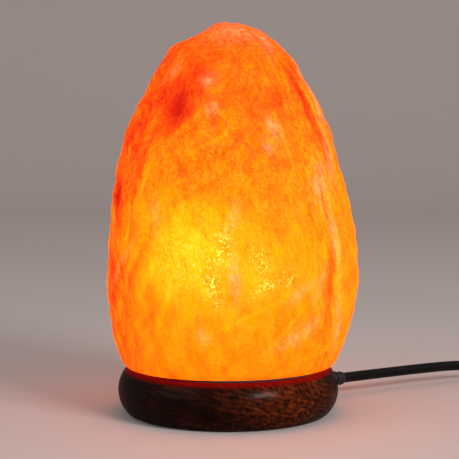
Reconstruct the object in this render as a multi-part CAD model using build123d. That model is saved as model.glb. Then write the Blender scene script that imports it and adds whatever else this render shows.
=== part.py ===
from build123d import *
from math import ceil, cos, degrees, dist, exp, pi, radians, sin, sqrt, tan
import os

# Salt crystal lamp: a hollowed lump of rock salt stands over a small bulb on a turned wooden base.
# Millimetres, +Z up. The origin is the centre of the base on the table, and the viewer is at -Y.

# ---- turned wooden base ----
base_radius = 60.0          # widest ring of the rounded side
widest_height = 13.0        # height of that ring above the table
side_bow = 17.0             # radius of the side's bow, seen in section
base_top = 25.4             # plateau that carries the crystal, above the table
plateau_inset = 5.8         # from the widest ring in to the plateau's edge
chamfer_drop = 2.4          # bevel between the plateau and the side
foot_height = 1.0           # how far the ring foot holds the wood off the table
foot_edge_round = 1.4
pocket_radius = 28.0        # hollow under the base
pocket_ceiling = 17.0
cover_radius = 35.6
cover_thickness = 3.0
cover_gap = 0.3             # round the cover, in its rebate
vent_radius = 2.0
vent_ring = 12.0
vent_count = 6

# ---- soft rings, screws and fits ----
foot_inset = 10.0           # from the widest ring in to the rubber ring that the base stands on
foot_ring_width = 10.0
foot_recess = 0.5
rest_ring_height = 1.0      # dark felt between base and crystal
rest_ring_inset = 0.8       # from the plateau's edge
rest_ring_width = 9.4
screw_radius = 1.3
screw_head_radius = 2.7
screw_head_height = 1.7
screw_fit = 0.1             # round a screw's shank, in every hole that it passes
seat_fit = 0.05             # round a fixed round piece, in its seat

# ---- crystal ----
crystal_height = 184.0
belly_height = 47.0         # widest level, above the crystal's cut foot
belly_radius = 67.4
foot_spread = 88.0          # lower half-axis of the lump, cut off at the foot
belly_shift = 2.0           # how far the belly leans to the right
front_share = 0.965         # depth of the lump against its width
lobe_two = 0.008            # gentle lobes round the lump, as shares of the radius
lobe_three = 0.010
lobe_twist = 55.0           # degrees that the lobes turn from foot to tip
foot_bevel = 1.2
outline_points = 30         # round each level of the lump
level_step = 7              # degrees of the upper half-ellipse between one level and the next
tip_level = 0.9995          # sine of the last level's rise, where the lump ends in a small flat
bore_radius = 23.0
bore_depth = 108.0
bore_dome = 9.0             # rounding at the bore's upper end
bore_mouth_bevel = 2.0
crystal_lift = 100.0

facet_depth = 3.0           # usual depth of the flat faces in the lump

# Flat faces knocked off the lump: direction round it, tilt upwards, and share of the usual depth.
crystal_facets = (
    (180.0, 8.0, 0.25),
    (178.0, 28.0, 0.05),
    (180.0, 65.0, 0.25),
    (222.0, 28.0, 0.93),
    (214.0, -6.0, 0.73),
    (252.0, 50.0, 0.73),
    (262.0, 6.0, 0.60),
    (305.0, 30.0, 0.87),
    (328.0, 2.0, 0.73),
    (2.0, 17.0, 1.00),
    (4.0, 30.0, 1.10),
    (2.0, -15.0, 0.76),
    (40.0, 12.0, 0.93),
    (75.0, 38.0, 1.00),
    (96.0, -2.0, 0.87),
    (132.0, 24.0, 1.00),
    (148.0, -8.0, 0.80),
)

# Worn hills and hollows: direction round the lump, height above its foot, half length, half width, lean to
# the right from upright, and rise.
crystal_hills = (
    (183.0, 168.0, 9.0, 14.0, 0.0, 2.0),
    (185.0, 150.0, 9.0, 14.0, 0.0, -1.2),
    (187.0, 136.0, 9.0, 14.0, 0.0, 0.8),
    (232.0, 142.0, 17.0, 11.0, 20.0, -2.2),
    (238.0, 125.0, 22.0, 10.0, 44.0, 1.5),
    (214.0, 62.0, 26.0, 11.0, 20.0, -1.5),
    (262.0, 52.0, 28.0, 26.0, 0.0, 1.0),
    (268.0, 120.0, 20.0, 14.0, 60.0, -0.9),
    (290.0, 30.0, 16.0, 12.0, 30.0, -1.0),
    (319.0, 56.0, 32.0, 11.0, 0.0, -1.8),
    (338.0, 62.0, 34.0, 12.0, 0.0, 0.9),
    (321.0, 136.0, 22.0, 10.0, -10.0, -1.2),
    (20.0, 96.0, 24.0, 16.0, 10.0, 1.4),
    (50.0, 52.0, 24.0, 14.0, -15.0, -1.8),
    (72.0, 152.0, 16.0, 16.0, 0.0, -1.6),
    (88.0, 104.0, 24.0, 18.0, 8.0, 1.6),
    (118.0, 58.0, 24.0, 14.0, 20.0, -1.8),
    (140.0, 144.0, 16.0, 14.0, 0.0, 1.4),
    (160.0, 34.0, 18.0, 15.0, 0.0, 1.1),
)

# ---- lampholder on its plate ----
plate_radius = 22.4
plate_thickness = 1.5
plate_screw_ring = 18.4
plate_gap = 0.3
nipple_radius = 5.0
nipple_bore = 3.5
nipple_bottom = 18.0
nipple_top = 30.0
nut_across = 14.0
nut_height = 4.0
nut_room = 9.5
holder_radius = 13.5
holder_cap_height = 17.6
holder_floor = 7.0
holder_wall = 2.5
spigot_height = 3.0
spigot_wall = 1.2
holder_top = 71.0
holder_taper = 1.0
holder_mouth = 8.6
insert_thickness = 3.0
insert_boss_drop = 5.0
insert_boss_rise = 2.0
thread_shell_wall = 0.5
thread_shell_height = 19.0
thread_clearance = 0.08     # between the lamp cap and the brass thread
contact_gap = 0.3           # between the sprung tongue and the bulb's tip
terminal_offset = 3.4
terminal_size = 5.0
terminal_height = 6.0

# ---- bulb ----
bulb_length = 57.0
bulb_radius = 14.0
bulb_neck = 6.6
cap_radius = 6.95
cap_height = 18.0
tip_height = 2.0
glass_wall = 0.7
filament_height = 33.0      # above the top of the cap

# ---- cord where it leaves the base ----
cord_radius = 2.9
cord_heading = 33.0         # degrees from +X towards the back
cord_height = 10.4
bush_sink = 2.0             # depth of the spot face in the wood, at the widest ring
bush_depth = 14.0           # from the spot face inwards
bush_reach = 20.0           # from the spot face outwards
bush_body_radius = 5.0
bush_collar_radius = 5.6
bush_tip_radius = 3.5
bush_ribs = 5
grip_near = 14.0            # cord grip, measured from the axis
grip_far = 24.0
grip_width = 18.0
grip_screw_offset = 6.2
lead_end = 11.0
core_radius = 1.1
core_offset = 1.35

# ---- loose cord, dimmer and plug on the table ----
table_clearance = 0.1
turn_pitch = 6.3            # from one turn of the coil to the next, and from layer to layer
coil_mean_radius = 35.5
coil_turns = 6.111
coil_centre = (182.0, -65.1)
coil_start_angle = -20.0
coil_steps_per_turn = 4
slack_start = 120.0         # where the cord from the base begins to bend, from the lamp's axis
slack_end = 174.0
slack_drop = 0.8            # how far the cord has sunk there
dimmer_run = 21.2           # straight run of the cord into the dimmer
lead_run = 22.0             # straight runs of the cord from the dimmer to the coil
tail_run = 14.0             # straight runs of the cord from the coil to the plug

dimmer_centre = (212.8, 26.1)
dimmer_heading = -70.0
dimmer_length = 58.0
dimmer_width = 30.0
dimmer_height = 20.0
dimmer_corner = 13.0
dimmer_wall = 2.0
dimmer_edge = 3.0
dimmer_port_height = 7.0
sleeve_length = 8.0
sleeve_neck = 4.0
sleeve_root = 4.8
sleeve_flange = 4.8
sleeve_flange_length = 1.5
sleeve_flange_gap = 0.5     # between the flange and the end wall, which is bowed
dimmer_lead_inset = 11.0    # from the case's end to the end of the sheath inside
dimmer_screw_place = (20.0, 8.6)
post_radius = 2.7
board_size = (28.0, 20.0, 1.6)
board_bottom = 4.0
dial_radius = 12.0
dial_height = 8.0
dial_gap = 0.4              # between the dial and the case
dial_flutes = 24
dial_shaft_radius = 3.0
dial_shaft_gap = 0.08
control_radius = 8.0
control_height = 6.0

plug_entry = (161.8, -129.7)
plug_heading = 212.0
plug_thickness = 13.7
plug_face_width = 35.3
plug_relief_length = 14.0
plug_body_length = 34.0
plug_waist = 12.0           # half width at the finger grips
plug_edge = 2.4
plug_corner = 3.5
pin_spacing = 18.6
pin_radius = 2.0
pin_length = 19.0
pin_sleeve_length = 10.0
pin_sleeve_radius = 1.7
pin_core_radius = 1.35
pin_depth = 8.0

# ---- values that follow from the ones above ----
wood_bottom = foot_height
plateau_radius = base_radius - plateau_inset
foot_outer = base_radius - foot_inset
foot_inner = foot_outer - foot_ring_width
rest_ring_outer = plateau_radius - rest_ring_inset
bush_seat = base_radius - bush_sink
bush_outer_end = bush_seat + bush_reach
crystal_foot = base_top + rest_ring_height
plate_seat = base_top - plate_thickness
cap_top = base_top + holder_cap_height
insert_seat = cap_top + spigot_height
insert_top = insert_seat + insert_thickness
holder_inner = holder_radius - holder_wall
spigot_radius = holder_inner + spigot_wall
thread_radius = cap_radius + thread_clearance
tongue_top = insert_top + insert_boss_rise + 1.5
bulb_bottom = tongue_top + contact_gap
bulb_cap_top = bulb_bottom + tip_height + cap_height
cord_floor = cord_radius + table_clearance
cord_axis = Vector(cos(radians(cord_heading)), sin(radians(cord_heading)), 0)
cord_side = Vector(-sin(radians(cord_heading)), cos(radians(cord_heading)), 0)


def turned(*corners):
    """A body turned about Z, from the corners of its half section as (radius, height)."""
    return revolve(Plane.XZ * make_face(Polyline(*corners, close=True)), Axis.Z)


def ring(inner, outer, bottom, top):
    """A flat ring or tube about Z."""
    return turned((inner, bottom), (outer, bottom), (outer, top), (inner, top))


def post(radius, bottom, top, x=0.0, y=0.0):
    """An upright cylinder between two heights."""
    return Pos(x, y, (bottom + top) / 2) * Cylinder(radius, top - bottom)


def block(x_size, y_size, bottom, top, x=0.0, y=0.0):
    """An upright box between two heights."""
    return Pos(x, y, (bottom + top) / 2) * Box(x_size, y_size, top - bottom)


def around(count, radius, start=0.0):
    """Places spaced evenly on a circle, as (x, y)."""
    angles = [radians(start + 360.0 * i / count) for i in range(count)]
    return [(radius * cos(a), radius * sin(a)) for a in angles]


def along_cord(distance, side=0.0, height=cord_height):
    """A point in the base, measured out along the cord's line and across it."""
    place = cord_axis * distance + cord_side * side
    return Vector(place.X, place.Y, height)


def cord_cylinder(radius, start, end):
    """A cylinder on the cord's line, between two distances from the lamp's axis."""
    plane = Plane(along_cord(start), z_dir=cord_axis)
    return extrude(plane * Circle(radius), end - start)


def countersunk_screw(x, y, head_face, length):
    """A flat-headed screw that points up, its head flush with head_face."""
    cone = Pos(x, y, head_face + screw_head_height / 2) * Cone(
        screw_head_radius, screw_radius, screw_head_height)
    return cone + post(screw_radius, head_face + screw_head_height, head_face + length, x, y)


def countersunk_hole(x, y, head_face, depth):
    """The hole that a countersunk screw fills, with its clearance."""
    cone = Pos(x, y, head_face + screw_head_height / 2) * Cone(
        screw_head_radius + screw_fit, screw_radius + screw_fit, screw_head_height)
    return cone + post(screw_radius + screw_fit, head_face, head_face + depth, x, y)


def pan_screw(x, y, head_face, length):
    """A round-headed screw that points down, its head standing on head_face."""
    dome = Pos(x, y, head_face) * Cylinder(
        screw_head_radius, screw_head_height, align=(Align.CENTER, Align.CENTER, Align.MIN))
    dome = fillet(dome.edges().sort_by(Axis.Z)[-1], 0.9)
    return dome + post(screw_radius, head_face - length, head_face, x, y)


# ---- wooden base and what is under it ----
cover_screw_places = around(3, (pocket_radius + cover_radius) / 2, 90.0)
cover_screw_length = 10.0
plate_screw_places = around(3, plate_screw_ring, cord_heading + 60.0)
plate_screw_length = 7.0
grip_screw_length = 14.5
grip_bar_bottom = cord_height - cord_radius - 1.1
grip_split = 0.6            # half the slot between the two halves of the cord grip


def side_radius(height):
    """Radius of the base's bowed side at a height."""
    return base_radius - side_bow + sqrt(side_bow ** 2 - (height - widest_height) ** 2)


def make_wooden_base():
    rim_height = base_top - chamfer_drop
    bottom = Line((0, wood_bottom), (side_radius(wood_bottom), wood_bottom))
    side = ThreePointArc(bottom @ 1, (base_radius, widest_height), (side_radius(rim_height), rim_height))
    bevel = Line(side @ 1, (plateau_radius, base_top))
    top = Line(bevel @ 1, (0, base_top))
    wood = revolve(Plane.XZ * make_face([bottom, side, bevel, top, Line(top @ 1, bottom @ 0)]), Axis.Z)
    outer_foot = wood.edges().filter_by(GeomType.CIRCLE).group_by(Axis.Z)[0]
    wood = fillet(outer_foot, foot_edge_round)
    wood -= post(cover_radius + cover_gap, 0, wood_bottom + cover_thickness)
    wood -= post(pocket_radius, 0, pocket_ceiling)
    wood -= post(nut_room, 0, base_top)
    wood -= post(plate_radius + plate_gap, plate_seat, base_top + 1)
    wood -= ring(foot_inner - seat_fit, foot_outer + seat_fit, 0, wood_bottom + foot_recess)
    for x, y in cover_screw_places:
        wood -= post(screw_radius + screw_fit, 0, wood_bottom + cover_screw_length + 1, x, y)
    for x, y in plate_screw_places:
        wood -= post(screw_radius + screw_fit, base_top - plate_screw_length - 0.5, base_top, x, y)
    for side_place in (-grip_screw_offset, grip_screw_offset):
        hole = along_cord((grip_near + grip_far) / 2, side_place)
        grip_hole_top = grip_bar_bottom + grip_screw_length + 0.5
        wood -= post(screw_radius + screw_fit, pocket_ceiling - 1, grip_hole_top, hole.X, hole.Y)
    wood -= cord_cylinder(bush_body_radius + seat_fit, pocket_radius - 4, base_radius + 2)
    wood -= cord_cylinder(bush_collar_radius + cover_gap, bush_seat, base_radius + 2)
    return wood


def make_foot_ring():
    return ring(foot_inner, foot_outer, 0, wood_bottom + foot_recess)


def make_bottom_cover():
    cover = post(cover_radius, wood_bottom, wood_bottom + cover_thickness)
    for x, y in cover_screw_places:
        cover -= countersunk_hole(x, y, wood_bottom, cover_thickness)
    for x, y in around(vent_count, vent_ring):
        cover -= post(vent_radius, 0, wood_bottom + cover_thickness, x, y)
    return cover


def make_cover_screws():
    return [countersunk_screw(x, y, wood_bottom, cover_screw_length) for x, y in cover_screw_places]


def make_rest_ring():
    return ring(rest_ring_outer - rest_ring_width, rest_ring_outer, base_top, crystal_foot)


# ---- cord grip, bush and inner wires ----
def make_cord_bush():
    """Rubber bush: a plug in the wood, a collar on it and a ribbed taper round the cord outside."""
    collar = 0.2 * bush_reach
    rib_pitch = (bush_reach - collar) / bush_ribs
    bore = cord_radius + seat_fit
    outline = [(bore, -bush_depth), (bush_body_radius, -bush_depth), (bush_body_radius, 0),
               (bush_collar_radius, 0), (bush_collar_radius, collar)]
    for i in range(bush_ribs):
        start = collar + rib_pitch * i
        radius = bush_collar_radius + (bush_tip_radius - bush_collar_radius) * i / bush_ribs
        groove = bore + 0.45 * (radius - bore)
        outline += [(groove, start), (groove, start + 0.35 * rib_pitch), (radius, start + 0.35 * rib_pitch)]
    outline += [(bush_tip_radius, bush_reach), (bore, bush_reach)]
    return Plane(along_cord(bush_seat), z_dir=cord_axis) * turned(*outline)


def make_cord_grip():
    """The upper block and lower bar that hold the cord in the pocket, and their two screws."""
    middle = (grip_near + grip_far) / 2
    turn = Pos(*along_cord(middle, 0, 0)) * Rot(0, 0, cord_heading)
    channel = cord_cylinder(cord_radius + seat_fit, grip_near - 1, grip_far + 1)
    upper = turn * block(grip_far - grip_near, grip_width, cord_height + grip_split, pocket_ceiling)
    lower = turn * block(grip_far - grip_near, grip_width, grip_bar_bottom, cord_height - grip_split)
    upper -= channel
    lower -= channel
    screws = []
    for side_place in (-grip_screw_offset, grip_screw_offset):
        place = along_cord(middle, side_place)
        hole = post(screw_radius + screw_fit, 0, pocket_ceiling, place.X, place.Y)
        upper -= hole
        lower -= hole
        screw = Rot(180, 0, 0) * pan_screw(0, 0, -grip_bar_bottom, grip_screw_length)
        screws.append(Pos(place.X, place.Y, 0) * screw)
    return upper, lower, screws


def bent_tube(radius, points, bends):
    """A round tube along straight runs joined by tangent arcs."""
    path = FilletPolyline(*points, radius=bends)
    return sweep(Plane(path @ 0, z_dir=path % 0) * Circle(radius), path=path)


def make_core(side):
    """One insulated wire, from the sheath's end up through the nipple to its terminal."""
    start = along_cord(lead_end, side * core_offset)
    corner = along_cord(0, side * core_offset)
    rise = Vector(corner.X, corner.Y, nipple_top + 0.6)
    splay = along_cord(0, side * terminal_offset, terminal_bottom - 1.6)
    end = along_cord(0, side * terminal_offset, terminal_bottom)
    return bent_tube(core_radius, [start, corner, rise, splay, end], [5.0, 1.6, 1.2])


# ---- lampholder ----
terminal_bottom = insert_seat - insert_boss_drop - terminal_height


def make_mounting_plate():
    plate = ring(nipple_radius + seat_fit, plate_radius, plate_seat, base_top)
    for x, y in plate_screw_places:
        plate -= post(screw_radius + screw_fit, plate_seat, base_top, x, y)
    return plate


def make_plate_screws():
    return [pan_screw(x, y, base_top, plate_screw_length) for x, y in plate_screw_places]


def make_nipple_nut():
    hexagon = RegularPolygon(nut_across / 2, 6, major_radius=False)
    nut = extrude(Pos(0, 0, plate_seat - nut_height) * hexagon, nut_height)
    return nut - post(nipple_radius + seat_fit, 0, base_top)


def make_holder_cap():
    """Lower half of the lampholder: a cup with a threaded neck in its floor and a spigot on its rim."""
    floor = base_top + holder_floor
    cup = turned(
        (nipple_radius + seat_fit, base_top), (holder_radius - 1.5, base_top),
        (holder_radius, base_top + 1.5), (holder_radius, cap_top), (spigot_radius, cap_top),
        (spigot_radius, insert_seat), (holder_inner, insert_seat), (holder_inner, floor),
        (nipple_radius + seat_fit, floor))
    for x, y in around(18, holder_radius + 0.5):
        cup -= post(0.9, base_top + 3, cap_top - 2, x, y)
    return cup


def make_holder_shell():
    """Upper half of the lampholder: a slightly tapered sleeve that screws over the spigot."""
    mouth_lip = 2.0
    return turned(
        (spigot_radius + seat_fit, cap_top), (holder_radius, cap_top),
        (holder_radius - holder_taper, holder_top - 1), (holder_radius - holder_taper - 1, holder_top),
        (holder_mouth, holder_top), (holder_mouth, holder_top - mouth_lip),
        (holder_mouth + 0.8, holder_top - mouth_lip - 1), (holder_mouth + 0.8, insert_top),
        (spigot_radius + seat_fit, insert_top))


def make_holder_insert():
    """Ceramic disc that carries the contacts, with a boss below and a step above for the brass thread."""
    disc = turned(
        (0, insert_seat - insert_boss_drop), (8.0, insert_seat - insert_boss_drop), (8.0, insert_seat),
        (spigot_radius, insert_seat), (spigot_radius, insert_top), (thread_radius - 0.1, insert_top),
        (thread_radius - 0.1, insert_top + insert_boss_rise), (0, insert_top + insert_boss_rise))
    return disc - post(1.3, 0, holder_top)


def make_thread_shell():
    outer = thread_radius + thread_shell_wall
    top = insert_top + thread_shell_height
    return turned(
        (thread_radius, insert_top), (outer, insert_top), (outer, top - 1), (outer + 0.6, top),
        (thread_radius + 0.6, top), (thread_radius, top - 1))


def make_centre_contact():
    """Sprung brass tongue on its rivet."""
    step = insert_top + insert_boss_rise
    tongue_line = [Line((-4.5, 0), (-2.5, 0)), ThreePointArc((-2.5, 0), (0, 1.1), (2.5, 0.6))]
    top_line = [Line((2.5, 0.6), (2.5, 1.0)), ThreePointArc((2.5, 1.0), (0, 1.5), (-2.5, 0.4)),
                Line((-2.5, 0.4), (-4.5, 0.4)), Line((-4.5, 0.4), (-4.5, 0))]
    strip = Pos(0, 2.0, step) * extrude(Plane.XZ * make_face(tongue_line + top_line), 4.0)
    rivet = post(1.25, insert_seat - insert_boss_drop - 0.6, step + 1.2)
    return strip + rivet


def make_terminals():
    """Two brass terminal blocks under the insert, and the screws in their sides."""
    blocks = []
    screws = []
    for side in (-1, 1):
        place = along_cord(0, side * terminal_offset, 0)
        local = Pos(place.X, place.Y, 0) * Rot(0, 0, cord_heading)
        body = block(terminal_size, terminal_size - 1.4, terminal_bottom, terminal_bottom + terminal_height)
        screw_height = terminal_bottom + terminal_height / 2
        hole = Pos(terminal_size / 2, 0, screw_height) * Rot(0, 90, 0) * Cylinder(1.05, 3.0)
        shank = Pos(terminal_size / 2 + 0.25, 0, screw_height) * Rot(0, 90, 0) * Cylinder(1.0, 2.5)
        head = Pos(terminal_size / 2 + 0.9, 0, screw_height) * Rot(0, 90, 0) * Cylinder(1.6, 1.2)
        blocks.append(local * (body - hole))
        screws.append(local * (shank + head))
    return blocks, screws


# ---- bulb ----
def glass_outline(inset):
    """Half section of the pear-shaped glass, pulled in by inset on every side."""
    top = bulb_bottom + bulb_length - inset
    widest = top - bulb_radius + inset
    radius = bulb_radius - inset
    neck = bulb_neck - inset
    neck_line = Line((neck, bulb_cap_top), (neck, bulb_cap_top + 3))
    swell = Spline(neck_line @ 1, (radius, widest), tangents=((0.05, 1), (0, 1)))
    dome = ThreePointArc(swell @ 1, (radius * sin(pi / 4), widest + radius * cos(pi / 4)), (0, top))
    return [neck_line, swell, dome, Line((0, top), (0, bulb_cap_top)),
            Line((0, bulb_cap_top), neck_line @ 0)]


def make_bulb_glass():
    outer = revolve(Plane.XZ * make_face(glass_outline(0)), Axis.Z)
    inner = revolve(Plane.XZ * make_face(glass_outline(glass_wall)), Axis.Z)
    return outer - inner


def make_bulb_cap():
    """Brass screw cap: a tube with a rolled upper rim and a tapered lower end."""
    low = bulb_bottom + tip_height
    wall = 0.4
    return turned(
        (4.2, low), (5.2, low), (cap_radius, low + 2.5), (cap_radius, bulb_cap_top - 1.5),
        (cap_radius - 0.35, bulb_cap_top), (bulb_neck - glass_wall, bulb_cap_top),
        (cap_radius - wall, bulb_cap_top - 2), (cap_radius - wall, low + 2.7),
        (5.0, low + wall), (4.2, low + wall))


def make_cap_insulator():
    low = bulb_bottom + tip_height
    return turned((2.4, low - 1.0), (3.2, low - 1.0), (4.2, low), (4.2, low + 1.2), (2.4, low + 1.2))


def make_cap_contact():
    low = bulb_bottom
    button = turned((0, low), (1.6, low), (2.4, low + 0.6), (2.4, low + 1.8), (0, low + 1.8))
    return button


def make_bulb_stem():
    """Pressed glass mount inside the bulb, which carries the wires."""
    flare = bulb_neck - glass_wall
    base = bulb_cap_top
    return turned(
        (0, base + 1.0), (flare - 1.0, base), (flare, base), (flare, base + 0.8), (2.6, base + 4),
        (2.0, base + 14), (1.3, base + 16), (0, base + 16))


def make_bulb_supports():
    """The two lead wires, which leave the stem and spread to the ends of the filament."""
    wires = []
    start = bulb_cap_top + 16
    end = bulb_cap_top + filament_height
    for side in (-1, 1):
        points = [(side * 0.8, 0, start), (side * 0.8, 0, start + 3),
                  (side * 5.5, 0, end - 4), (side * 6.0, 0, end)]
        wires.append(bent_tube(0.3, points, [1.5, 3.0]))
    return wires


def make_filament():
    """The fine coil between the two lead wires, bowed up a little in the middle."""
    end = bulb_cap_top + filament_height
    bow = 1.6
    line = ThreePointArc((-5.6, 0, end - 0.6), (0, 0, end - 0.6 + bow), (5.6, 0, end - 0.6))
    return sweep(Plane(line @ 0, z_dir=line % 0) * Circle(0.35), path=line)


# ---- salt crystal ----
upper_spread = crystal_height - belly_height


def hill_rise(angle, height, radius):
    """What the worn hills and hollows add to the lump's radius there, each one a soft oval bell."""
    rise = 0.0
    for direction, level, half_length, half_width, lean, crest in crystal_hills:
        turned_by = (degrees(angle) - direction + 180.0) % 360.0 - 180.0
        around_lump = radians(turned_by) * max(radius, half_width)
        above = height - level
        along = above * cos(radians(lean)) + around_lump * sin(radians(lean))
        across = around_lump * cos(radians(lean)) - above * sin(radians(lean))
        rise += crest * exp(-(along / half_length) ** 2 - (across / half_width) ** 2)
    return rise


def level_outline(level, inset=0.0):
    """Closed curve round the lump at a level, given as the sine of its rise above the belly."""
    spread = upper_spread if level > 0 else foot_spread
    height = belly_height + spread * level
    radius = belly_radius * sqrt(1 - level ** 2) - inset
    share = height / crystal_height
    lean = belly_shift * sin(pi * min(1.0, share * 2.0))
    turn = radians(lobe_twist) * share
    points = []
    for step in range(outline_points):
        angle = 2 * pi * step / outline_points
        lobes = 1 + lobe_two * cos(2 * angle - 1.1 + turn) + lobe_three * cos(3 * angle + 0.6 - turn)
        reach = radius * lobes + hill_rise(angle, height, radius)
        points.append((lean + reach * cos(angle), front_share * reach * sin(angle)))
    return Pos(0, 0, crystal_foot + height) * make_face(Spline(*points, periodic=True))


def facet_plane(direction, tilt, depth_share):
    """The plane that a flat face lies on, from the lump's own two half-ellipses."""
    flat = cos(radians(tilt))
    normal = Vector(flat * cos(radians(direction)), flat * sin(radians(direction)), sin(radians(tilt)))
    spread = upper_spread if tilt > 0 else foot_spread
    width = belly_radius * sqrt(normal.X ** 2 + (front_share * normal.Y) ** 2)
    reach = sqrt(width ** 2 + (spread * normal.Z) ** 2)
    centre = Vector(belly_shift, 0, crystal_foot + belly_height)
    return Plane(centre + normal * (reach - facet_depth * depth_share), z_dir=normal)


def make_salt_crystal():
    foot_level = -belly_height / foot_spread
    rim_level = (foot_bevel - belly_height) / foot_spread
    levels = [rim_level * share for share in (1, 2 / 3, 1 / 3)]
    levels += [sin(radians(rise)) for rise in range(0, 90 - level_step // 2, level_step)] + [tip_level]
    lump = loft([level_outline(level) for level in levels])
    lump += loft([level_outline(foot_level, foot_bevel), level_outline(rim_level)], ruled=True)
    for facet in crystal_facets:
        lump = split(lump, bisect_by=facet_plane(*facet), keep=Keep.BOTTOM)
    top = crystal_foot + bore_depth
    wall = Line((bore_radius, crystal_foot), (bore_radius, top - bore_dome))
    short = bore_dome * (1 - cos(pi / 4))
    dome = ThreePointArc(wall @ 1, (bore_radius - short, top - short), (bore_radius - bore_dome, top))
    bore = [Line((0, crystal_foot), wall @ 0), wall, dome, Line(dome @ 1, (0, top)),
            Line((0, top), (0, crystal_foot))]
    lump -= revolve(Plane.XZ * make_face(bore), Axis.Z)
    lump -= turned((0, crystal_foot), (bore_radius + bore_mouth_bevel, crystal_foot),
                   (bore_radius, crystal_foot + bore_mouth_bevel), (0, crystal_foot + bore_mouth_bevel))
    return lump


# ---- loose cord ----
def corner_bends(name, points):
    """The largest arc that each corner's two runs allow."""
    spots = [Vector(*p) for p in points]
    bends = []
    for before, corner, after in zip(spots, spots[1:], spots[2:]):
        run_in = corner - before
        run_out = after - corner
        half_turn = radians(run_in.get_angle(run_out)) / 2
        bends.append(0.45 * min(run_in.length, run_out.length) / tan(half_turn))
    print(name, "bend radii", [round(b, 1) for b in bends])
    return bends


def cord_tube(name, points):
    """A free stretch of cord along its route."""
    path = FilletPolyline(*points, radius=corner_bends(name, points))
    tube = sweep(Plane(path @ 0, z_dir=path % 0) * Circle(cord_radius), path=path)
    print(name, "length", round(path.length, 1), "volume share",
          round(tube.volume / (pi * cord_radius ** 2 * path.length), 4))
    return tube


def coil_point(turns):
    """A point of the coil's line: spiral inwards on the table, climb a layer, spiral out on top."""
    half = coil_turns / 2
    radius = coil_mean_radius + turn_pitch * (coil_turns / 4 - min(turns, coil_turns - turns))
    climb = min(1.0, max(0.0, 2 * (turns - half) + 0.5))
    height = cord_floor + turn_pitch * climb * climb * (3 - 2 * climb)
    angle = radians(coil_start_angle - 360.0 * turns)
    return Vector(coil_centre[0] + radius * cos(angle), coil_centre[1] + radius * sin(angle), height)


def coil_direction(turns):
    """The way that the coil's line runs there."""
    step = 0.01
    return (coil_point(turns + step) - coil_point(turns - step)).normalized()


def biarc(start, start_way, end, end_way):
    """Two tangent arcs from one point and direction to the next."""
    chord = end - start
    ways = start_way + end_way
    spread = 2 * (1 - start_way.dot(end_way))
    along = chord.dot(ways)
    reach = (-along + sqrt(along ** 2 + spread * chord.dot(chord))) / spread
    middle = (start + end + (start_way - end_way) * reach) * 0.5
    middle_way = (end - end_way * reach - start - start_way * reach).normalized()
    return [Edge.make_tangent_arc(start, start_way, middle), Edge.make_tangent_arc(middle, middle_way, end)]


coil_in = coil_point(0) - coil_direction(0) * (2 * cord_radius)
coil_out = coil_point(coil_turns) + coil_direction(coil_turns) * (2 * cord_radius)


def make_cord_coil():
    """The put-away length as one tube, in two layers of neat turns."""
    steps = 2 * ceil(coil_turns * coil_steps_per_turn / 2)
    marks = [coil_turns * i / steps for i in range(steps + 1)]
    edges = [Edge.make_line(coil_in, coil_point(0))]
    for here, there in zip(marks, marks[1:]):
        edges += biarc(coil_point(here), coil_direction(here), coil_point(there), coil_direction(there))
    edges.append(Edge.make_line(coil_point(coil_turns), coil_out))
    path = Wire(edges)
    count = 1200
    samples = [tuple(path @ (i / count)) for i in range(count + 1)]
    half_turn = ceil(count * 0.5 / coil_turns)
    least = min(dist(a, b) for i, a in enumerate(samples) for b in samples[i + half_turn:])
    print("coil length", round(path.length, 1), "least gap to itself", round(least - 2 * cord_radius, 2))
    return sweep(Plane(path @ 0, z_dir=path % 0) * Circle(cord_radius), path=path)


# ---- dimmer ----
case_half = dimmer_length / 2
port_reach = case_half + sleeve_length
split_height = dimmer_port_height
dimmer_screws_at = (dimmer_screw_place, (-dimmer_screw_place[0], -dimmer_screw_place[1]))
case_inner_top = dimmer_height - dimmer_wall
board_top = board_bottom + board_size[2]
post_top = case_inner_top
dimmer_screw_length = 14.0


def case_block(inset, bottom, top):
    outline = RectangleRounded(dimmer_length - 2 * inset, dimmer_width - 2 * inset, dimmer_corner - inset)
    return extrude(Pos(0, 0, bottom) * outline, top - bottom)


def port_cut(radius, start, end):
    """A round cut through one end of the case, and its mirror at the other."""
    one = Pos((start + end) / 2, 0, dimmer_port_height) * Rot(0, 90, 0) * Cylinder(radius, end - start)
    return one + mirror(one, Plane.YZ)


def make_dimmer_bottom():
    shell = case_block(0, 0, split_height)
    shell = chamfer(shell.edges().group_by(Axis.Z)[0], 1.2)
    shell -= case_block(dimmer_wall, dimmer_wall, split_height)
    for x, y in dimmer_screws_at:
        shell += post(post_radius, dimmer_wall, split_height, x, y)
        shell -= countersunk_hole(x, y, 0, split_height)
    for x in (-board_size[0] / 2 + 2, board_size[0] / 2 - 2):
        shell += block(2.4, board_size[1], dimmer_wall, board_bottom, x)
    return shell - port_cut(sleeve_neck + seat_fit, 0.8 * case_half, case_half + 1)


def make_dimmer_top():
    shell = case_block(0, split_height, dimmer_height)
    shell = fillet(shell.edges().group_by(Axis.Z)[-1], dimmer_edge)
    shell -= case_block(dimmer_wall, split_height, case_inner_top)
    for x, y in dimmer_screws_at:
        shell += post(post_radius, split_height, post_top, x, y)
        shell -= post(screw_radius + screw_fit, split_height, dimmer_screw_length + 0.5, x, y)
    shell -= post(dial_shaft_radius + dial_shaft_gap, split_height, dimmer_height)
    return shell - port_cut(sleeve_neck + seat_fit, 0.8 * case_half, case_half + 1)


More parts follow.
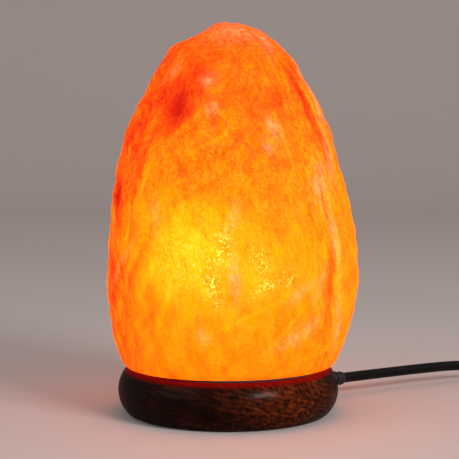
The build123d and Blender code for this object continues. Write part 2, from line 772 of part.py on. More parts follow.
def make_dimmer_sleeves():
    """Rubber sleeves held in the ends of the case, with an inner flange and an outer taper."""
    bore = cord_radius + seat_fit
    inside = case_half - dimmer_wall - sleeve_flange_gap
    sleeve = turned(
        (bore, inside - sleeve_flange_length), (sleeve_flange, inside - sleeve_flange_length),
        (sleeve_flange, inside), (sleeve_neck, inside), (sleeve_neck, case_half), (sleeve_root, case_half),
        (sleeve_root - 0.2, case_half + 2), (cord_radius + 0.7, port_reach), (bore, port_reach))
    lying = Pos(0, 0, dimmer_port_height) * Rot(0, 90, 0) * sleeve
    return [lying, mirror(lying, Plane.YZ)]


def make_dimmer_leads():
    """The ends of the sheathed cord inside the sleeves."""
    inner = case_half - dimmer_lead_inset
    length = port_reach - inner
    middle = (port_reach + inner) / 2
    lead = Pos(middle, 0, dimmer_port_height) * Rot(0, 90, 0) * Cylinder(cord_radius, length)
    return [lead, mirror(lead, Plane.YZ)]


def make_dimmer_cores():
    """Two wires at each end, from the sheath to the board."""
    outer = case_half - dimmer_lead_inset
    inner = 11.0
    cores = []
    for side in (-1, 1):
        core = Pos((outer + inner) / 2, side * core_offset, board_top + core_radius + 0.05) * Rot(0, 90, 0)
        core = core * Cylinder(core_radius, outer - inner)
        cores += [core, mirror(core, Plane.YZ)]
    return cores


def make_dimmer_board():
    return block(board_size[0], board_size[1], board_bottom, board_top)


def make_dimmer_control():
    """The fixed body of the rotary control, with the bushing that its shaft turns in."""
    body = post(control_radius, board_top, board_top + control_height)
    collar = post(4.6, board_top + control_height, case_inner_top)
    bore = post(dial_shaft_radius + dial_shaft_gap, board_top + 1.5, case_inner_top)
    return body + collar - bore


def make_dimmer_parts():
    """Choke, capacitor and switching element on the board."""
    choke = post(3.0, board_top, board_top + 6.5, -11.0, 6.4)
    choke -= post(1.2, board_top + 1, board_top + 6.5, -11.0, 6.4)
    capacitor = block(3.0, 6.0, board_top, board_top + 7, 11.5, -6.6)
    switcher = block(4.5, 2.0, board_top, board_top + 8, 11.0, 7.6)
    return [choke, capacitor, switcher]


def make_dimmer_screws():
    return [countersunk_screw(x, y, 0, dimmer_screw_length) for x, y in dimmer_screws_at]


def make_dimmer_dial():
    """Fluted dial with a domed top, a pointer rib and a blind bore for the shaft."""
    low = dimmer_height + dial_gap
    top = low + dial_height
    knob = post(dial_radius, low, top)
    knob = fillet(knob.edges().sort_by(Axis.Z)[-1], 1.4)
    for x, y in around(dial_flutes, dial_radius + 0.35):
        knob -= post(0.8, low, top, x, y)
    knob += block(7.0, 1.4, top - 0.5, top + 0.7, 6.4)
    return knob - post(dial_shaft_radius + seat_fit, low, top - 2)


def make_dimmer_shaft():
    return post(dial_shaft_radius, board_top + 1.6, dimmer_height + dial_gap + dial_height - 2.1)


# ---- plug ----
plug_face = plug_relief_length + plug_body_length


def make_plug_body():
    """Flat moulded plug, waisted where the fingers hold it, with a ribbed relief for the cord."""
    half = plug_face_width / 2
    low = plug_relief_length
    root = 5.4
    flank = [Line((low, root), (low + 6, plug_waist - 1)),
             ThreePointArc((low + 6, plug_waist - 1), (low + 14, plug_waist + 0.6), (low + 22, half)),
             Line((low + 22, half), (plug_face, half))]
    ends = [Line((low, -root), (low, root)), Line((plug_face, -half), (plug_face, half))]
    plan = make_face(flank + [edge.mirror(Plane.XZ) for edge in flank] + ends)
    body = extrude(Pos(0, 0, -plug_thickness / 2) * plan, plug_thickness)
    body = fillet(body.edges().filter_by(Axis.Z).group_by(Axis.X)[-1], plug_corner)
    flat_edges = body.edges().group_by(Axis.Z)
    body = fillet(flat_edges[0] + flat_edges[-1], plug_edge)
    outline = [(0, 0), (cord_radius + 0.8, 0)]
    rib_count = 4
    for i in range(rib_count):
        start = plug_relief_length * (i + 0.55) / (rib_count + 0.5)
        radius = cord_radius + 0.9 + 1.5 * i / rib_count
        outline += [(radius, start), (radius - 0.6, start)]
        outline += [(radius - 0.6, start + 0.9), (radius + 0.2, start + 0.9)]
    outline += [(5.2, low + 2), (0, low + 2)]
    relief = Rot(0, 90, 0) * turned(*outline)
    body += relief
    for side_place in (-pin_spacing / 2, pin_spacing / 2):
        hole = Pos(plug_face - pin_depth / 2, side_place, 0) * Rot(0, 90, 0)
        body -= hole * Cylinder(pin_core_radius + seat_fit, pin_depth)
    return body


def make_plug_pins():
    """Brass pins, slim inside the plug and in their sleeves and full size at the tip."""
    shoulder = pin_sleeve_length
    pin = turned(
        (0, -pin_depth), (pin_core_radius, -pin_depth), (pin_core_radius, shoulder), (pin_radius, shoulder),
        (pin_radius, pin_length - 1.2), (pin_radius - 1.0, pin_length), (0, pin_length))
    return [Pos(plug_face, y, 0) * Rot(0, 90, 0) * pin for y in (-pin_spacing / 2, pin_spacing / 2)]


def make_pin_sleeves():
    sleeve = ring(pin_core_radius + seat_fit, pin_sleeve_radius, 0, pin_sleeve_length)
    return [Pos(plug_face, y, 0) * Rot(0, 90, 0) * sleeve for y in (-pin_spacing / 2, pin_spacing / 2)]


# ---- where the loose pieces lie, and the cord's route between them ----
dimmer_turn = Pos(dimmer_centre[0], dimmer_centre[1], 0) * Rot(0, 0, dimmer_heading)
plug_turn = Pos(plug_entry[0], plug_entry[1], plug_thickness / 2) * Rot(0, 0, plug_heading)


def off_dimmer(distance):
    """A point on the line through the dimmer's ports, measured from its centre."""
    return tuple((dimmer_turn * Pos(distance, 0, dimmer_port_height)).position)


def off_plug(distance):
    """A point on the plug's centre line, measured from where the cord enters."""
    return tuple((plug_turn * Pos(distance, 0, 0)).position)


lamp_cord_points = [
    tuple(along_cord(bush_outer_end)),
    tuple(along_cord(slack_start)),
    tuple(along_cord(slack_end, -slack_drop, cord_height - slack_drop)),
    (172.4, 94.4, 6.0),
    off_dimmer(-port_reach - dimmer_run),
    off_dimmer(-port_reach),
]

plug_lead_points = [
    off_dimmer(port_reach),
    off_dimmer(port_reach + lead_run),
    tuple(coil_in - coil_direction(0) * lead_run),
    tuple(coil_in),
]

plug_tail_points = [
    tuple(coil_out),
    tuple(coil_out + coil_direction(coil_turns) * tail_run),
    off_plug(-tail_run),
    off_plug(0.0),
]


def placed(turn, shapes):
    """Moves one shape or several to where their piece lies."""
    shapes = shapes if isinstance(shapes, list) else [shapes]
    return [turn * shape for shape in shapes]


grip_block, grip_bar, grip_screws = make_cord_grip()
terminal_blocks, terminal_screws = make_terminals()

nodes = {
    "wooden_base": make_wooden_base(),
    "foot_ring": make_foot_ring(),
    "bottom_cover": make_bottom_cover(),
    "cover_screws": make_cover_screws(),
    "crystal_pad": make_rest_ring(),
    "mounting_plate": make_mounting_plate(),
    "plate_screws": make_plate_screws(),
    "threaded_nipple": ring(nipple_bore, nipple_radius, nipple_bottom, nipple_top),
    "nipple_nut": make_nipple_nut(),
    "lampholder_cap": make_holder_cap(),
    "lampholder_shell": make_holder_shell(),
    "lampholder_insert": make_holder_insert(),
    "thread_shell": make_thread_shell(),
    "centre_contact": make_centre_contact(),
    "terminals": terminal_blocks,
    "terminal_screws": terminal_screws,
    "cord_bush": make_cord_bush(),
    "cord_grip_block": grip_block,
    "cord_grip_bar": grip_bar,
    "cord_grip_screws": grip_screws,
    "inner_lead": cord_cylinder(cord_radius, lead_end, bush_outer_end),
    "inner_wires": [make_core(-1), make_core(1)],
    "salt_crystal": make_salt_crystal(),
    "bulb_glass": make_bulb_glass(),
    "bulb_cap": make_bulb_cap(),
    "cap_insulator": make_cap_insulator(),
    "cap_contact": make_cap_contact(),
    "bulb_stem": make_bulb_stem(),
    "bulb_supports": make_bulb_supports(),
    "bulb_filament": make_filament(),
    "lamp_cord": cord_tube("lamp cord", lamp_cord_points),
    "dimmer_case_bottom": placed(dimmer_turn, make_dimmer_bottom()),
    "dimmer_case_top": placed(dimmer_turn, make_dimmer_top()),
    "dimmer_screws": placed(dimmer_turn, make_dimmer_screws()),
    "dimmer_sleeves": placed(dimmer_turn, make_dimmer_sleeves()),
    "dimmer_leads": placed(dimmer_turn, make_dimmer_leads()),
    "dimmer_wires": placed(dimmer_turn, make_dimmer_cores()),
    "dimmer_board": placed(dimmer_turn, make_dimmer_board()),
    "dimmer_control": placed(dimmer_turn, make_dimmer_control()),
    "dimmer_parts": placed(dimmer_turn, make_dimmer_parts()),
    "dimmer_dial": placed(dimmer_turn, make_dimmer_dial()),
    "dimmer_shaft": placed(dimmer_turn, make_dimmer_shaft()),
    "plug_lead": cord_tube("plug lead", plug_lead_points),
    "cord_coil": make_cord_coil(),
    "plug_tail": cord_tube("plug tail", plug_tail_points),
    "plug_body": placed(plug_turn, make_plug_body()),
    "plug_pins": placed(plug_turn, make_plug_pins()),
    "pin_sleeves": placed(plug_turn, make_pin_sleeves()),
}

os.makedirs("parts", exist_ok=True)
for node, shape in nodes.items():
    solids = []
    for piece in shape if isinstance(shape, list) else [shape]:
        solids += piece.solids()
    export_step(Compound(solids) if len(solids) > 1 else solids[0], f"parts/{node}.step")
    print(node, len(solids))
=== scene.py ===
from math import ceil, cos, pi, radians, sin

import bpy
import numpy as np
from bpy.props import FloatProperty, FloatVectorProperty, IntProperty, PointerProperty
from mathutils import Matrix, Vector


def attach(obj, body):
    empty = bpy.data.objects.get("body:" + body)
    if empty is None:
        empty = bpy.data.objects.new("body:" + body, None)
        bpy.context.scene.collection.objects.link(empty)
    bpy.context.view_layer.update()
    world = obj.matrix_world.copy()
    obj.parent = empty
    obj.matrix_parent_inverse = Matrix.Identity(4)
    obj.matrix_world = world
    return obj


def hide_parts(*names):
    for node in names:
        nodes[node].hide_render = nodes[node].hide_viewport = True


bl_info = {
    "name": "Salt crystal lamp",
    "version": (1, 0, 0),
    "blender": (4, 5, 0),
    "location": "3D View > Sidebar > Salt Lamp",
    "description": "Dresses a salt crystal lamp: glowing rock salt, turned wood, cord, dimmer and plug",
    "category": "Object",
}

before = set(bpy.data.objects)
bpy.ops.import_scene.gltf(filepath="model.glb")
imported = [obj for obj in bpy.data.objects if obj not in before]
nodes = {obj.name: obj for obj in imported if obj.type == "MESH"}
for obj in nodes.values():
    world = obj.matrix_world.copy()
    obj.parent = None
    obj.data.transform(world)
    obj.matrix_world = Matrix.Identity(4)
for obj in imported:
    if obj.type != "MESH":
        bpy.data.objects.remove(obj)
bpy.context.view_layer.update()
MM = 0.001

# ---------------------------------------------------------------- what a user would change


def length(name, text, value, low=0.0):
    """A length in metres."""
    return FloatProperty(name=name, description=text, default=value, min=low, subtype="DISTANCE",
                         unit="LENGTH")


def share(name, text, value, high=1.0):
    """A number with no unit, from 0 to high."""
    return FloatProperty(name=name, description=text, default=value, min=0.0, max=high)


def power(name, text, value):
    """The power of a lamp in watts."""
    return FloatProperty(name=name, description=text, default=value, min=0.0, unit="POWER")


def colour(name, text, value):
    """A colour as linear red, green and blue."""
    return FloatVectorProperty(name=name, description=text, default=value, size=3, min=0.0, max=1.0,
                               subtype="COLOR")


class SaltLampStage(bpy.types.PropertyGroup):
    """The floor and the lights."""
    floor_colour: colour("Floor", "Colour of the floor and the backdrop behind it", (0.62, 0.545, 0.52))
    key_strength: power("Key light", "Power of the soft lamp in front, at the right", 10.0)
    fill_strength: power("Fill light", "Power of the larger soft lamp at the left", 2.4)
    room_light: share("Room light", "Even light from all sides", 0.42, 2.0)


class SaltLampCrystal(bpy.types.PropertyGroup):
    """The lit salt."""
    glow_strength: share("Glow", "How bright the lit salt is", 2.4, 10.0)
    relief: length("Relief", "Height of the worn ripples of the surface", 1.0 * MM)
    grain: share("Grain", "Depth of the fine crystal grain", 0.5)
    # The pale dust colour also paints highlights on the lit ridges at the right.
    dust_and_highlight_colour: colour("Salt dust", "Pale salt on the worn faces", (0.85, 0.45, 0.24))


class SaltLampWood(bpy.types.PropertyGroup):
    """The turned base."""
    dark_colour: colour("Dark grain", "Stain in the dark rings", (0.0030, 0.0005, 0.0002))
    light_colour: colour("Light grain", "Wood between the rings", (0.070, 0.0105, 0.0016))
    flame_colour: colour("Flame", "Reddest streaks of the wood", (0.185, 0.030, 0.0040))
    # The crown colour paints the red glow that the salt's light casts on the flat top.
    crown_painted_glow_colour: colour("Crown", "Stain of the flat top that the crystal lights", (0.180, 0.0014, 0.0005))
    ring_width: length("Ring width", "Distance from one year ring to the next", 2.3 * MM, 0.2 * MM)
    varnish: share("Varnish", "Weight of the satin varnish", 0.09)


class SaltLampCord(bpy.types.PropertyGroup):
    """The cord and its coil."""
    thickness: length("Thickness", "Outer diameter of the sheathed cord", 5.8 * MM)
    cord_colour: colour("Cord", "Colour of the cord's sheath", (0.0035, 0.0033, 0.0035))
    turn_points: IntProperty(name="Points in a turn", default=24, min=12, max=48,
                             description="Points of the cord's line in one turn of the coil")


class SaltLampFittings(bpy.types.PropertyGroup):
    """The lampholder, the bulb, the dimmer and the plug."""
    plastic_colour: colour("Plastic", "Colour of the dimmer, the plug and the lampholder",
                           (0.009, 0.009, 0.0095))
    brass_colour: colour("Brass", "Colour of the contacts and the screw thread", (0.72, 0.50, 0.20))
    filament_strength: share("Filament", "How bright the filament is", 40.0, 200.0)


# ---------------------------------------------------------------- materials


class Finish:
    """A material in the making: each method adds shader nodes and returns what they put out."""

    def __init__(self, name):
        """Starts with the one shader, its output and the object's own coordinates."""
        self.material = bpy.data.materials.new(name)
        self.material.use_nodes = True
        self.tree = self.material.node_tree
        self.tree.nodes.clear()
        self.shader = self.tree.nodes.new("ShaderNodeBsdfPrincipled")
        out = self.tree.nodes.new("ShaderNodeOutputMaterial")
        self.tree.links.new(self.shader.outputs[0], out.inputs[0])
        self.object = self.tree.nodes.new("ShaderNodeTexCoord").outputs["Object"]

    def feed(self, socket, value):
        """Links a node's output to a socket, or sets the socket to a number, a vector or a colour."""
        if isinstance(value, bpy.types.NodeSocket):
            self.tree.links.new(value, socket)
        elif socket.type == "RGBA":
            socket.default_value = (*value, 1.0)
        else:
            socket.default_value = value

    def add(self, kind, inputs=(), **settings):
        """Adds a node with its own settings, and feeds the inputs that are named."""
        node = self.tree.nodes.new(kind)
        for name, value in settings.items():
            setattr(node, name, value)
        for key, value in dict(inputs).items():
            self.feed(node.inputs[key], value)
        return node

    def plain(self, **sockets):
        """Sets the shader's own sockets, written with underscores for spaces."""
        for key, value in sockets.items():
            self.feed(self.shader.inputs[key.replace("_", " ")], value)
        return self

    def mapped(self, scale=(1, 1, 1), turn=(0, 0, 0), shift=(0, 0, 0), vector=None):
        """Places scaled, turned and shifted: a scale under 1 draws a pattern out along that axis."""
        inputs = {"Vector": vector or self.object, "Location": shift, "Rotation": turn, "Scale": scale}
        return self.add("ShaderNodeMapping", inputs).outputs[0]

    def parts(self, vector):
        """The x, y and z of a vector."""
        return self.add("ShaderNodeSeparateXYZ", {"Vector": vector}).outputs

    def noise(self, scale, detail=3.0, rough=0.5, vector=None, warp=0.0):
        """Cloudy noise about 0.5, with scale swells to the metre and detail finer octaves."""
        inputs = {"Vector": vector or self.object, "Scale": scale, "Detail": detail, "Roughness": rough,
                  "Distortion": warp}
        return self.add("ShaderNodeTexNoise", inputs).outputs[0]

    def cell_edges(self, scale, vector=None):
        """How far a place is from the nearest edge in a pattern of cells, scale of them to the metre."""
        inputs = {"Vector": vector or self.object, "Scale": scale}
        return self.add("ShaderNodeTexVoronoi", inputs, feature="DISTANCE_TO_EDGE").outputs["Distance"]

    def attribute(self, name):
        """A number that the mesh keeps at each of its points."""
        return self.add("ShaderNodeAttribute", attribute_name=name).outputs["Fac"]

    def math(self, operation, *values, clamp=False):
        """One step of arithmetic on one or two values."""
        node = self.add("ShaderNodeMath", operation=operation, use_clamp=clamp)
        for socket, value in zip(node.inputs, values):
            self.feed(socket, value)
        return node.outputs[0]

    def total(self, first, *others):
        """The sum of two or more values."""
        for other in others:
            first = self.math("ADD", first, other)
        return first

    def product(self, first, *others, clamp=False):
        """Two or more values times each other, held from 0 to 1 if clamp is set."""
        for other in others:
            first = self.math("MULTIPLY", first, other, clamp=clamp)
        return first

    def spread(self, value, low, high, to_low=0.0, to_high=1.0):
        """Maps a value from one range to another, held at both ends."""
        inputs = {"Value": value, "From Min": low, "From Max": high, "To Min": to_low, "To Max": to_high}
        return self.add("ShaderNodeMapRange", inputs).outputs[0]

    def off_middle(self, value):
        """How far a value is from 0.5, either way."""
        return self.math("ABSOLUTE", self.math("SUBTRACT", value, 0.5))

    def zigzag(self, value, count):
        """From 1 down to 0 and back to 1, count times while the value goes from 0 to 1."""
        return self.product(self.off_middle(self.math("FRACT", self.product(value, count))), 2.0)

    def ramp(self, factor, stops):
        """A colour looked up by a factor from 0 to 1 in stops of a place and a colour."""
        node = self.add("ShaderNodeValToRGB", {"Fac": factor})
        while len(node.color_ramp.elements) < len(stops):
            node.color_ramp.elements.new(0.5)
        for element, (place, value) in zip(node.color_ramp.elements, stops):
            element.position = place
            element.color = (*value, 1.0)
        return node.outputs[0]

    def mix(self, factor, first, second):
        """Goes from the first colour to the second: a Mix node set to colours has them at 6 and 7."""
        inputs = {0: factor, 6: first, 7: second}
        return self.add("ShaderNodeMix", inputs, data_type="RGBA").outputs[2]

    def bump(self, height, depth, strength=1.0):
        """Bump of a height from 0 to 1, depth metres deep."""
        inputs = {"Height": height, "Strength": strength, "Distance": depth}
        return self.add("ShaderNodeBump", inputs).outputs[0]


def lighter_by(tint, times, lift):
    """A colour made brighter, and lifted a little so that black changes too."""
    return tuple(min(1.0, part * times + lift) for part in tint)


def moulded(name, tint, rough, grain=0.04 * MM, fineness=2600.0, coat=0.0):
    """Moulded plastic or rubber: a fine sparked grain, faint cloudiness and slightly uneven gloss."""
    f = Finish(name)
    cloud = f.spread(f.noise(90.0, 2.0), 0.35, 0.65)
    f.plain(Base_Color=f.mix(cloud, tint, lighter_by(tint, 1.5, 0.004)),
            Roughness=f.spread(f.noise(160.0), 0.3, 0.7, rough - 0.06, rough + 0.08),
            Normal=f.bump(f.noise(fineness, 2.0), grain), Coat_Weight=coat, Coat_Roughness=0.2)
    return f.material


def metal(name, tint, rough, turned=True):
    """Plated or plain metal with a little tarnish and fine tool marks: level if turned, else along y."""
    f = Finish(name)
    drawn_out = f.mapped(scale=(0.25, 0.25, 6.0) if turned else (6.0, 0.4, 6.0))
    marks = f.noise(900.0, 2.0, vector=drawn_out)
    tarnish = f.noise(220.0, 4.0, 0.65)
    dull = tuple(part * 0.55 for part in tint)
    f.plain(Base_Color=f.mix(f.spread(tarnish, 0.45, 0.8), tint, dull), Metallic=1.0,
            Roughness=f.spread(tarnish, 0.3, 0.8, rough - 0.06, rough + 0.16),
            Normal=f.bump(marks, 0.02 * MM))
    return f.material


# The wood's pith line runs below the base, a little out of level. The rings round it are warped twice.
PITH_TURN = (0.05, -0.22, 0.5)
PITH_SHIFT = (0.0, 28.0 * MM, 75.0 * MM)
RING_WARP, RING_TREMOR = 34.0 * MM, 5.0 * MM
RING_STOPS = ((0.0, (0.28,) * 3), (0.5, (0.72,) * 3), (0.85, (0.45,) * 3), (1.0, (0.28,) * 3))
# The left of the base is darkened as painted shade, and the flat top is coloured with a painted red glow of
# the salt's light.
SHADED_SIDE_EDGES = (-50.0 * MM, 15.0 * MM)
SHADED_SIDE_DARKNESS = 0.12
CROWN_EDGES = (22.6 * MM, 24.4 * MM)
CROWN_PAINTED_GLOW, CROWN_DULLNESS = 0.82, 0.45
PORE_SHADE = 0.35


def finish_wood(wood):
    """Dark stained wood: rings about a level pith line under the base, pores along it, satin varnish.

    A ring's place is the fraction of (distance from the pith line + warping noise) / ring width. The left of
    the base is darkened as painted shade, and the flat top gets a painted red glow of the salt's light.
    """
    f = Finish("stained_wood")
    along = f.mapped(turn=PITH_TURN, shift=PITH_SHIFT)

    def grain(scale, detail, rough, draw_out):
        """Noise that is drawn out along the wood: the smaller draw_out is, the longer its streaks are."""
        return f.noise(scale, detail, rough, vector=f.mapped(scale=(draw_out, 1.0, 1.0), vector=along))

    pith = f.parts(along)
    distance = f.math("POWER", f.total(f.math("POWER", pith[1], 2.0), f.math("POWER", pith[2], 2.0)), 0.5)
    distance = f.total(distance, f.product(grain(14.0, 3.0, 0.55, 0.35), RING_WARP),
                       f.product(grain(70.0, 3.0, 0.6, 0.2), RING_TREMOR))
    ring = f.ramp(f.math("FRACT", f.math("DIVIDE", distance, wood.ring_width)), RING_STOPS)
    fibre = grain(420.0, 4.0, 0.7, 0.07)
    pores = f.spread(grain(1500.0, 2.0, 0.5, 0.05), 0.56, 0.64)
    figure = grain(24.0, 3.0, 0.6, 0.5)
    place = f.parts(f.object)
    # The last factor darkens the left of the base: painted shade.
    tone = f.product(ring, f.spread(fibre, 0.34, 0.66, 0.0, 1.5), f.spread(figure, 0.38, 0.62, 0.06, 1.3),
                     f.spread(place[0], *SHADED_SIDE_EDGES, SHADED_SIDE_DARKNESS, 1.0))
    tone = f.math("SUBTRACT", tone, f.product(pores, PORE_SHADE), clamp=True)
    warm = f.mix(f.spread(figure, 0.3, 0.7), wood.light_colour, wood.flame_colour)
    # The flat top is mixed towards the crown colour: a painted red glow of the salt's light on the wood.
    crown = f.spread(place[2], *CROWN_EDGES)
    stain_and_painted_glow = f.mix(f.product(crown, CROWN_PAINTED_GLOW), f.mix(tone, wood.dark_colour, warm), wood.crown_painted_glow_colour)
    relief = f.math("SUBTRACT", f.product(fibre, 0.5), f.product(pores, 0.6))
    f.plain(Base_Color=stain_and_painted_glow,
            Roughness=f.total(f.spread(fibre, 0.3, 0.7, 0.34, 0.52), f.product(crown, CROWN_DULLNESS)),
            Normal=f.bump(relief, 0.12 * MM), Coat_Weight=wood.varnish, Coat_Roughness=0.20,
            Specular_IOR_Level=0.015)
    return f.material


# Colours of the salt from its coolest place, 0, to its warmest, 1: of its light and of its body.
GLOW_STOPS = ((0.0, (0.22, 0.0015, 0.0)), (0.25, (0.33, 0.011, 0.0)), (0.45, (0.52, 0.043, 0.0)),
              (0.62, (0.80, 0.093, 0.0)), (0.80, (0.95, 0.155, 0.0)), (1.0, (1.0, 0.250, 0.002)))
BODY_STOPS = ((0.0, (0.30, 0.006, 0.0)), (0.45, (0.45, 0.075, 0.0)), (1.0, (0.55, 0.19, 0.0)))
SPARK_COLOUR = (1.0, 0.47, 0.07)
DUSTY_GLOW, DUSTY_SHARE = (0.20, 0.030, 0.006), 0.34
# The salt's streaks lean a little to one side of upright.
SALT_LEAN = (0.0, 0.3, 0.0)
# Folds and wandering lines, painted light and shade of the salt's creases in its glow, are faint up to the
# first height and strong from the second one up.
WRINKLE_SHADING_LEVELS = (50.0 * MM, 135.0 * MM)
WRINKLE_SHADING_WEIGHTS = (0.35, 1.15)
# Wandering lines, painted light and shade of creases: how fine they are, how much warmer (+) or redder (-),
# and the shift of their pattern.
PAINTED_CREASE_SHADING = ((200.0, -0.13, 0.0), (270.0, 0.085, 0.31), (520.0, -0.07, 0.57))


def finish_salt(crystal):
    """Lit rock salt: glow colour by how warm the place is, pale dust on worn faces with painted highlights
    on the lit ridges, grain and sparkles.

    The mesh keeps what LAYERS names at its points. Uneven patterns are added to the warmth, among them the
    painted light and shade of the creases, and the sum picks the colours of the light and of the body from
    two ramps.
    """
    f = Finish("lit_rock_salt")
    warmth, dust_and_highlight, sparkle, streaky = (f.attribute(name) for name in LAYERS)
    leaning = f.mapped(turn=SALT_LEAN)
    grain = f.noise(900.0, 4.0, 0.75)
    patches = f.noise(60.0, 3.0, 0.55, warp=0.5)
    streaks = f.noise(330.0, 3.0, 0.6, vector=f.mapped(scale=(1.0, 1.0, 0.16), vector=leaning), warp=0.5)
    cracks = f.spread(f.cell_edges(300.0, vector=f.mapped(scale=(1.0, 1.0, 0.6))), 0.0, 0.16)
    crackle = f.zigzag(f.noise(170.0, 2.0, warp=0.3), 12.0)
    folds = f.zigzag(f.noise(34.0, 2.0, warp=0.8), 10.0)
    crease_shading_weight = f.spread(f.parts(f.object)[2], *WRINKLE_SHADING_LEVELS, *WRINKLE_SHADING_WEIGHTS)

    # Patches, grain, streaks, cracks and the dark seams between sparkles, then wandering lines and folds,
    # which paint light and shade of the creases.
    uneven = f.total(f.spread(patches, 0.3, 0.7, -0.035, 0.035), f.spread(grain, 0.3, 0.7, -0.055, 0.055),
                     f.product(f.spread(streaks, 0.3, 0.7, -0.16, 0.12), streaky),
                     f.spread(cracks, 0.0, 1.0, -0.025, 0.0),
                     f.product(f.spread(crackle, 0.0, 0.4, -0.16, 0.0), sparkle))
    for fineness, step, shift in PAINTED_CREASE_SHADING:
        drawn_out = f.mapped(scale=(1.0, 1.0, 0.42), shift=(shift, 0.0, 0.0), vector=leaning)
        line = f.off_middle(f.noise(fineness, 4.0, 0.62, drawn_out, warp=1.0))
        uneven = f.total(uneven, f.product(f.spread(line, 0.0, 0.03, step, 0.0), crease_shading_weight))
    uneven = f.total(uneven, f.product(f.spread(folds, 0.0, 1.0, -0.032, 0.034), crease_shading_weight))
    place = f.total(warmth, uneven)

    flecks = f.noise(360.0, 5.0, 0.75, vector=f.mapped(scale=(1.0, 1.0, 0.6), vector=leaning), warp=0.4)
    # The pale layer is partly real dust and partly painted highlights on the lit ridges at the right.
    worn = f.product(f.spread(flecks, 0.38, 0.66), dust_and_highlight, 1.5, clamp=True)
    sparks = f.product(f.spread(crackle, 0.45, 0.80), f.spread(f.noise(430.0), 0.44, 0.58), sparkle,
                       clamp=True)
    glow = f.mix(sparks, f.ramp(place, GLOW_STOPS), SPARK_COLOUR)
    glow = f.mix(f.product(worn, DUSTY_SHARE), glow, DUSTY_GLOW)
    height = f.total(f.product(grain, 0.35), f.product(f.noise(160.0, 4.0, 0.62), 0.8),
                     f.product(cracks, 0.12), f.product(folds, 0.40))
    f.plain(Base_Color=f.mix(worn, f.ramp(place, BODY_STOPS), crystal.dust_and_highlight_colour), Emission_Color=glow,
            Emission_Strength=crystal.glow_strength, Roughness=f.spread(grain, 0.3, 0.7, 0.40, 0.70),
            Specular_IOR_Level=0.03, Normal=f.bump(height, 1.6 * MM, strength=crystal.grain))
    return f.material


def finish_cord(tint):
    """Smooth sheath: faint drawing marks, a soft sheen and slightly uneven gloss."""
    f = Finish("cord_sheath")
    f.plain(Base_Color=f.mix(f.spread(f.noise(260.0), 0.4, 0.7), tint, lighter_by(tint, 1.9, 0.001)),
            Roughness=f.spread(f.noise(420.0, 2.0), 0.3, 0.7, 0.34, 0.46),
            Normal=f.bump(f.noise(1800.0, 2.0), 0.03 * MM), Specular_IOR_Level=0.10)
    return f.material


CORE_BROWN, CORE_BLUE = (0.16, 0.055, 0.02), (0.02, 0.07, 0.30)


def two_cores(name, heading, x=0.0, y=0.0):
    """Brown and blue insulation, parted by the upright plane through x and y along the heading."""
    f = Finish(name)
    centred = f.mapped(shift=(-x * MM, -y * MM, 0.0))
    across = f.parts(f.mapped(turn=(0.0, 0.0, -heading), vector=centred))[1]
    side = f.math("GREATER_THAN", across, 0.0)
    return f.plain(Base_Color=f.mix(side, CORE_BROWN, CORE_BLUE), Roughness=0.4)


# ---------------------------------------------------------------- shared helpers


def give(material, *names):
    """Puts a material on every slot of some of the model's own pieces."""
    for name in names:
        piece = nodes[name]
        if not piece.material_slots:
            piece.data.materials.append(material)
        for slot in piece.material_slots:
            slot.material = material


def place_in_scene(name, data):
    """An object for a mesh, a curve, a light or a camera, linked to the scene."""
    piece = bpy.data.objects.new(name, data)
    bpy.context.scene.collection.objects.link(piece)
    return piece


def smooth_mesh(name, points, faces, material):
    """A smooth-shaded mesh of points and faces, as an object of its own."""
    mesh = bpy.data.meshes.new(name)
    mesh.from_pydata(points.tolist(), [], faces)
    mesh.polygons.foreach_set("use_smooth", np.ones(len(faces), dtype=bool))
    mesh.materials.append(material)
    mesh.update()
    return place_in_scene(name, mesh)


def skin_order(grid):
    """A grid's values in the order of a closed skin's points: its middle rows, then its two poles."""
    return np.concatenate([grid[1:-1].reshape(-1, *grid.shape[2:]), grid[:1, 0], grid[-1:, 0]])


def closed_skin(name, grid, material):
    """A closed skin from a grid of points: rows run down the piece and columns run round it.

    Neighbouring rows are joined by four-sided faces. The first and the last row are poles, each of them one
    point with a fan of triangles.
    """
    rows, columns = grid.shape[:2]
    here = np.arange(columns)
    there = (here + 1) % columns
    row_start = np.arange(rows - 3)[:, None] * columns
    corner, beside = row_start + here, row_start + there
    faces = np.stack([corner, corner + columns, beside + columns, beside], axis=-1).reshape(-1, 4).tolist()
    last_row = (rows - 3) * columns
    first_pole = np.full(columns, (rows - 2) * columns)
    faces += np.stack([first_pole, here, there], axis=-1).tolist()
    faces += np.stack([first_pole + 1, last_row + there, last_row + here], axis=-1).tolist()
    return smooth_mesh(name, skin_order(grid), faces, material)


def ripples(points, wavelength, seed, upright):
    """A smooth uneven field: the sum of sine waves in random directions, with a spread of about one.

    Their lengths are the wavelength over 0.7 to 1.35, and up to upright times as much in height.
    """
    rng = np.random.default_rng(seed)
    ways = rng.normal(size=(WAVES, 3))
    ways /= np.linalg.norm(ways, axis=1)[:, None]
    uneven = rng.uniform(0.7, 1.35, WAVES)[:, None]
    ways *= (2 * pi / wavelength) * uneven / np.array((1.0, 1.0, upright))
    phases = rng.uniform(0, 2 * pi, WAVES)
    return np.sin(points @ ways.T + phases).sum(axis=-1) * np.sqrt(2.0 / WAVES)


# ---------------------------------------------------------------- the crystal's shape

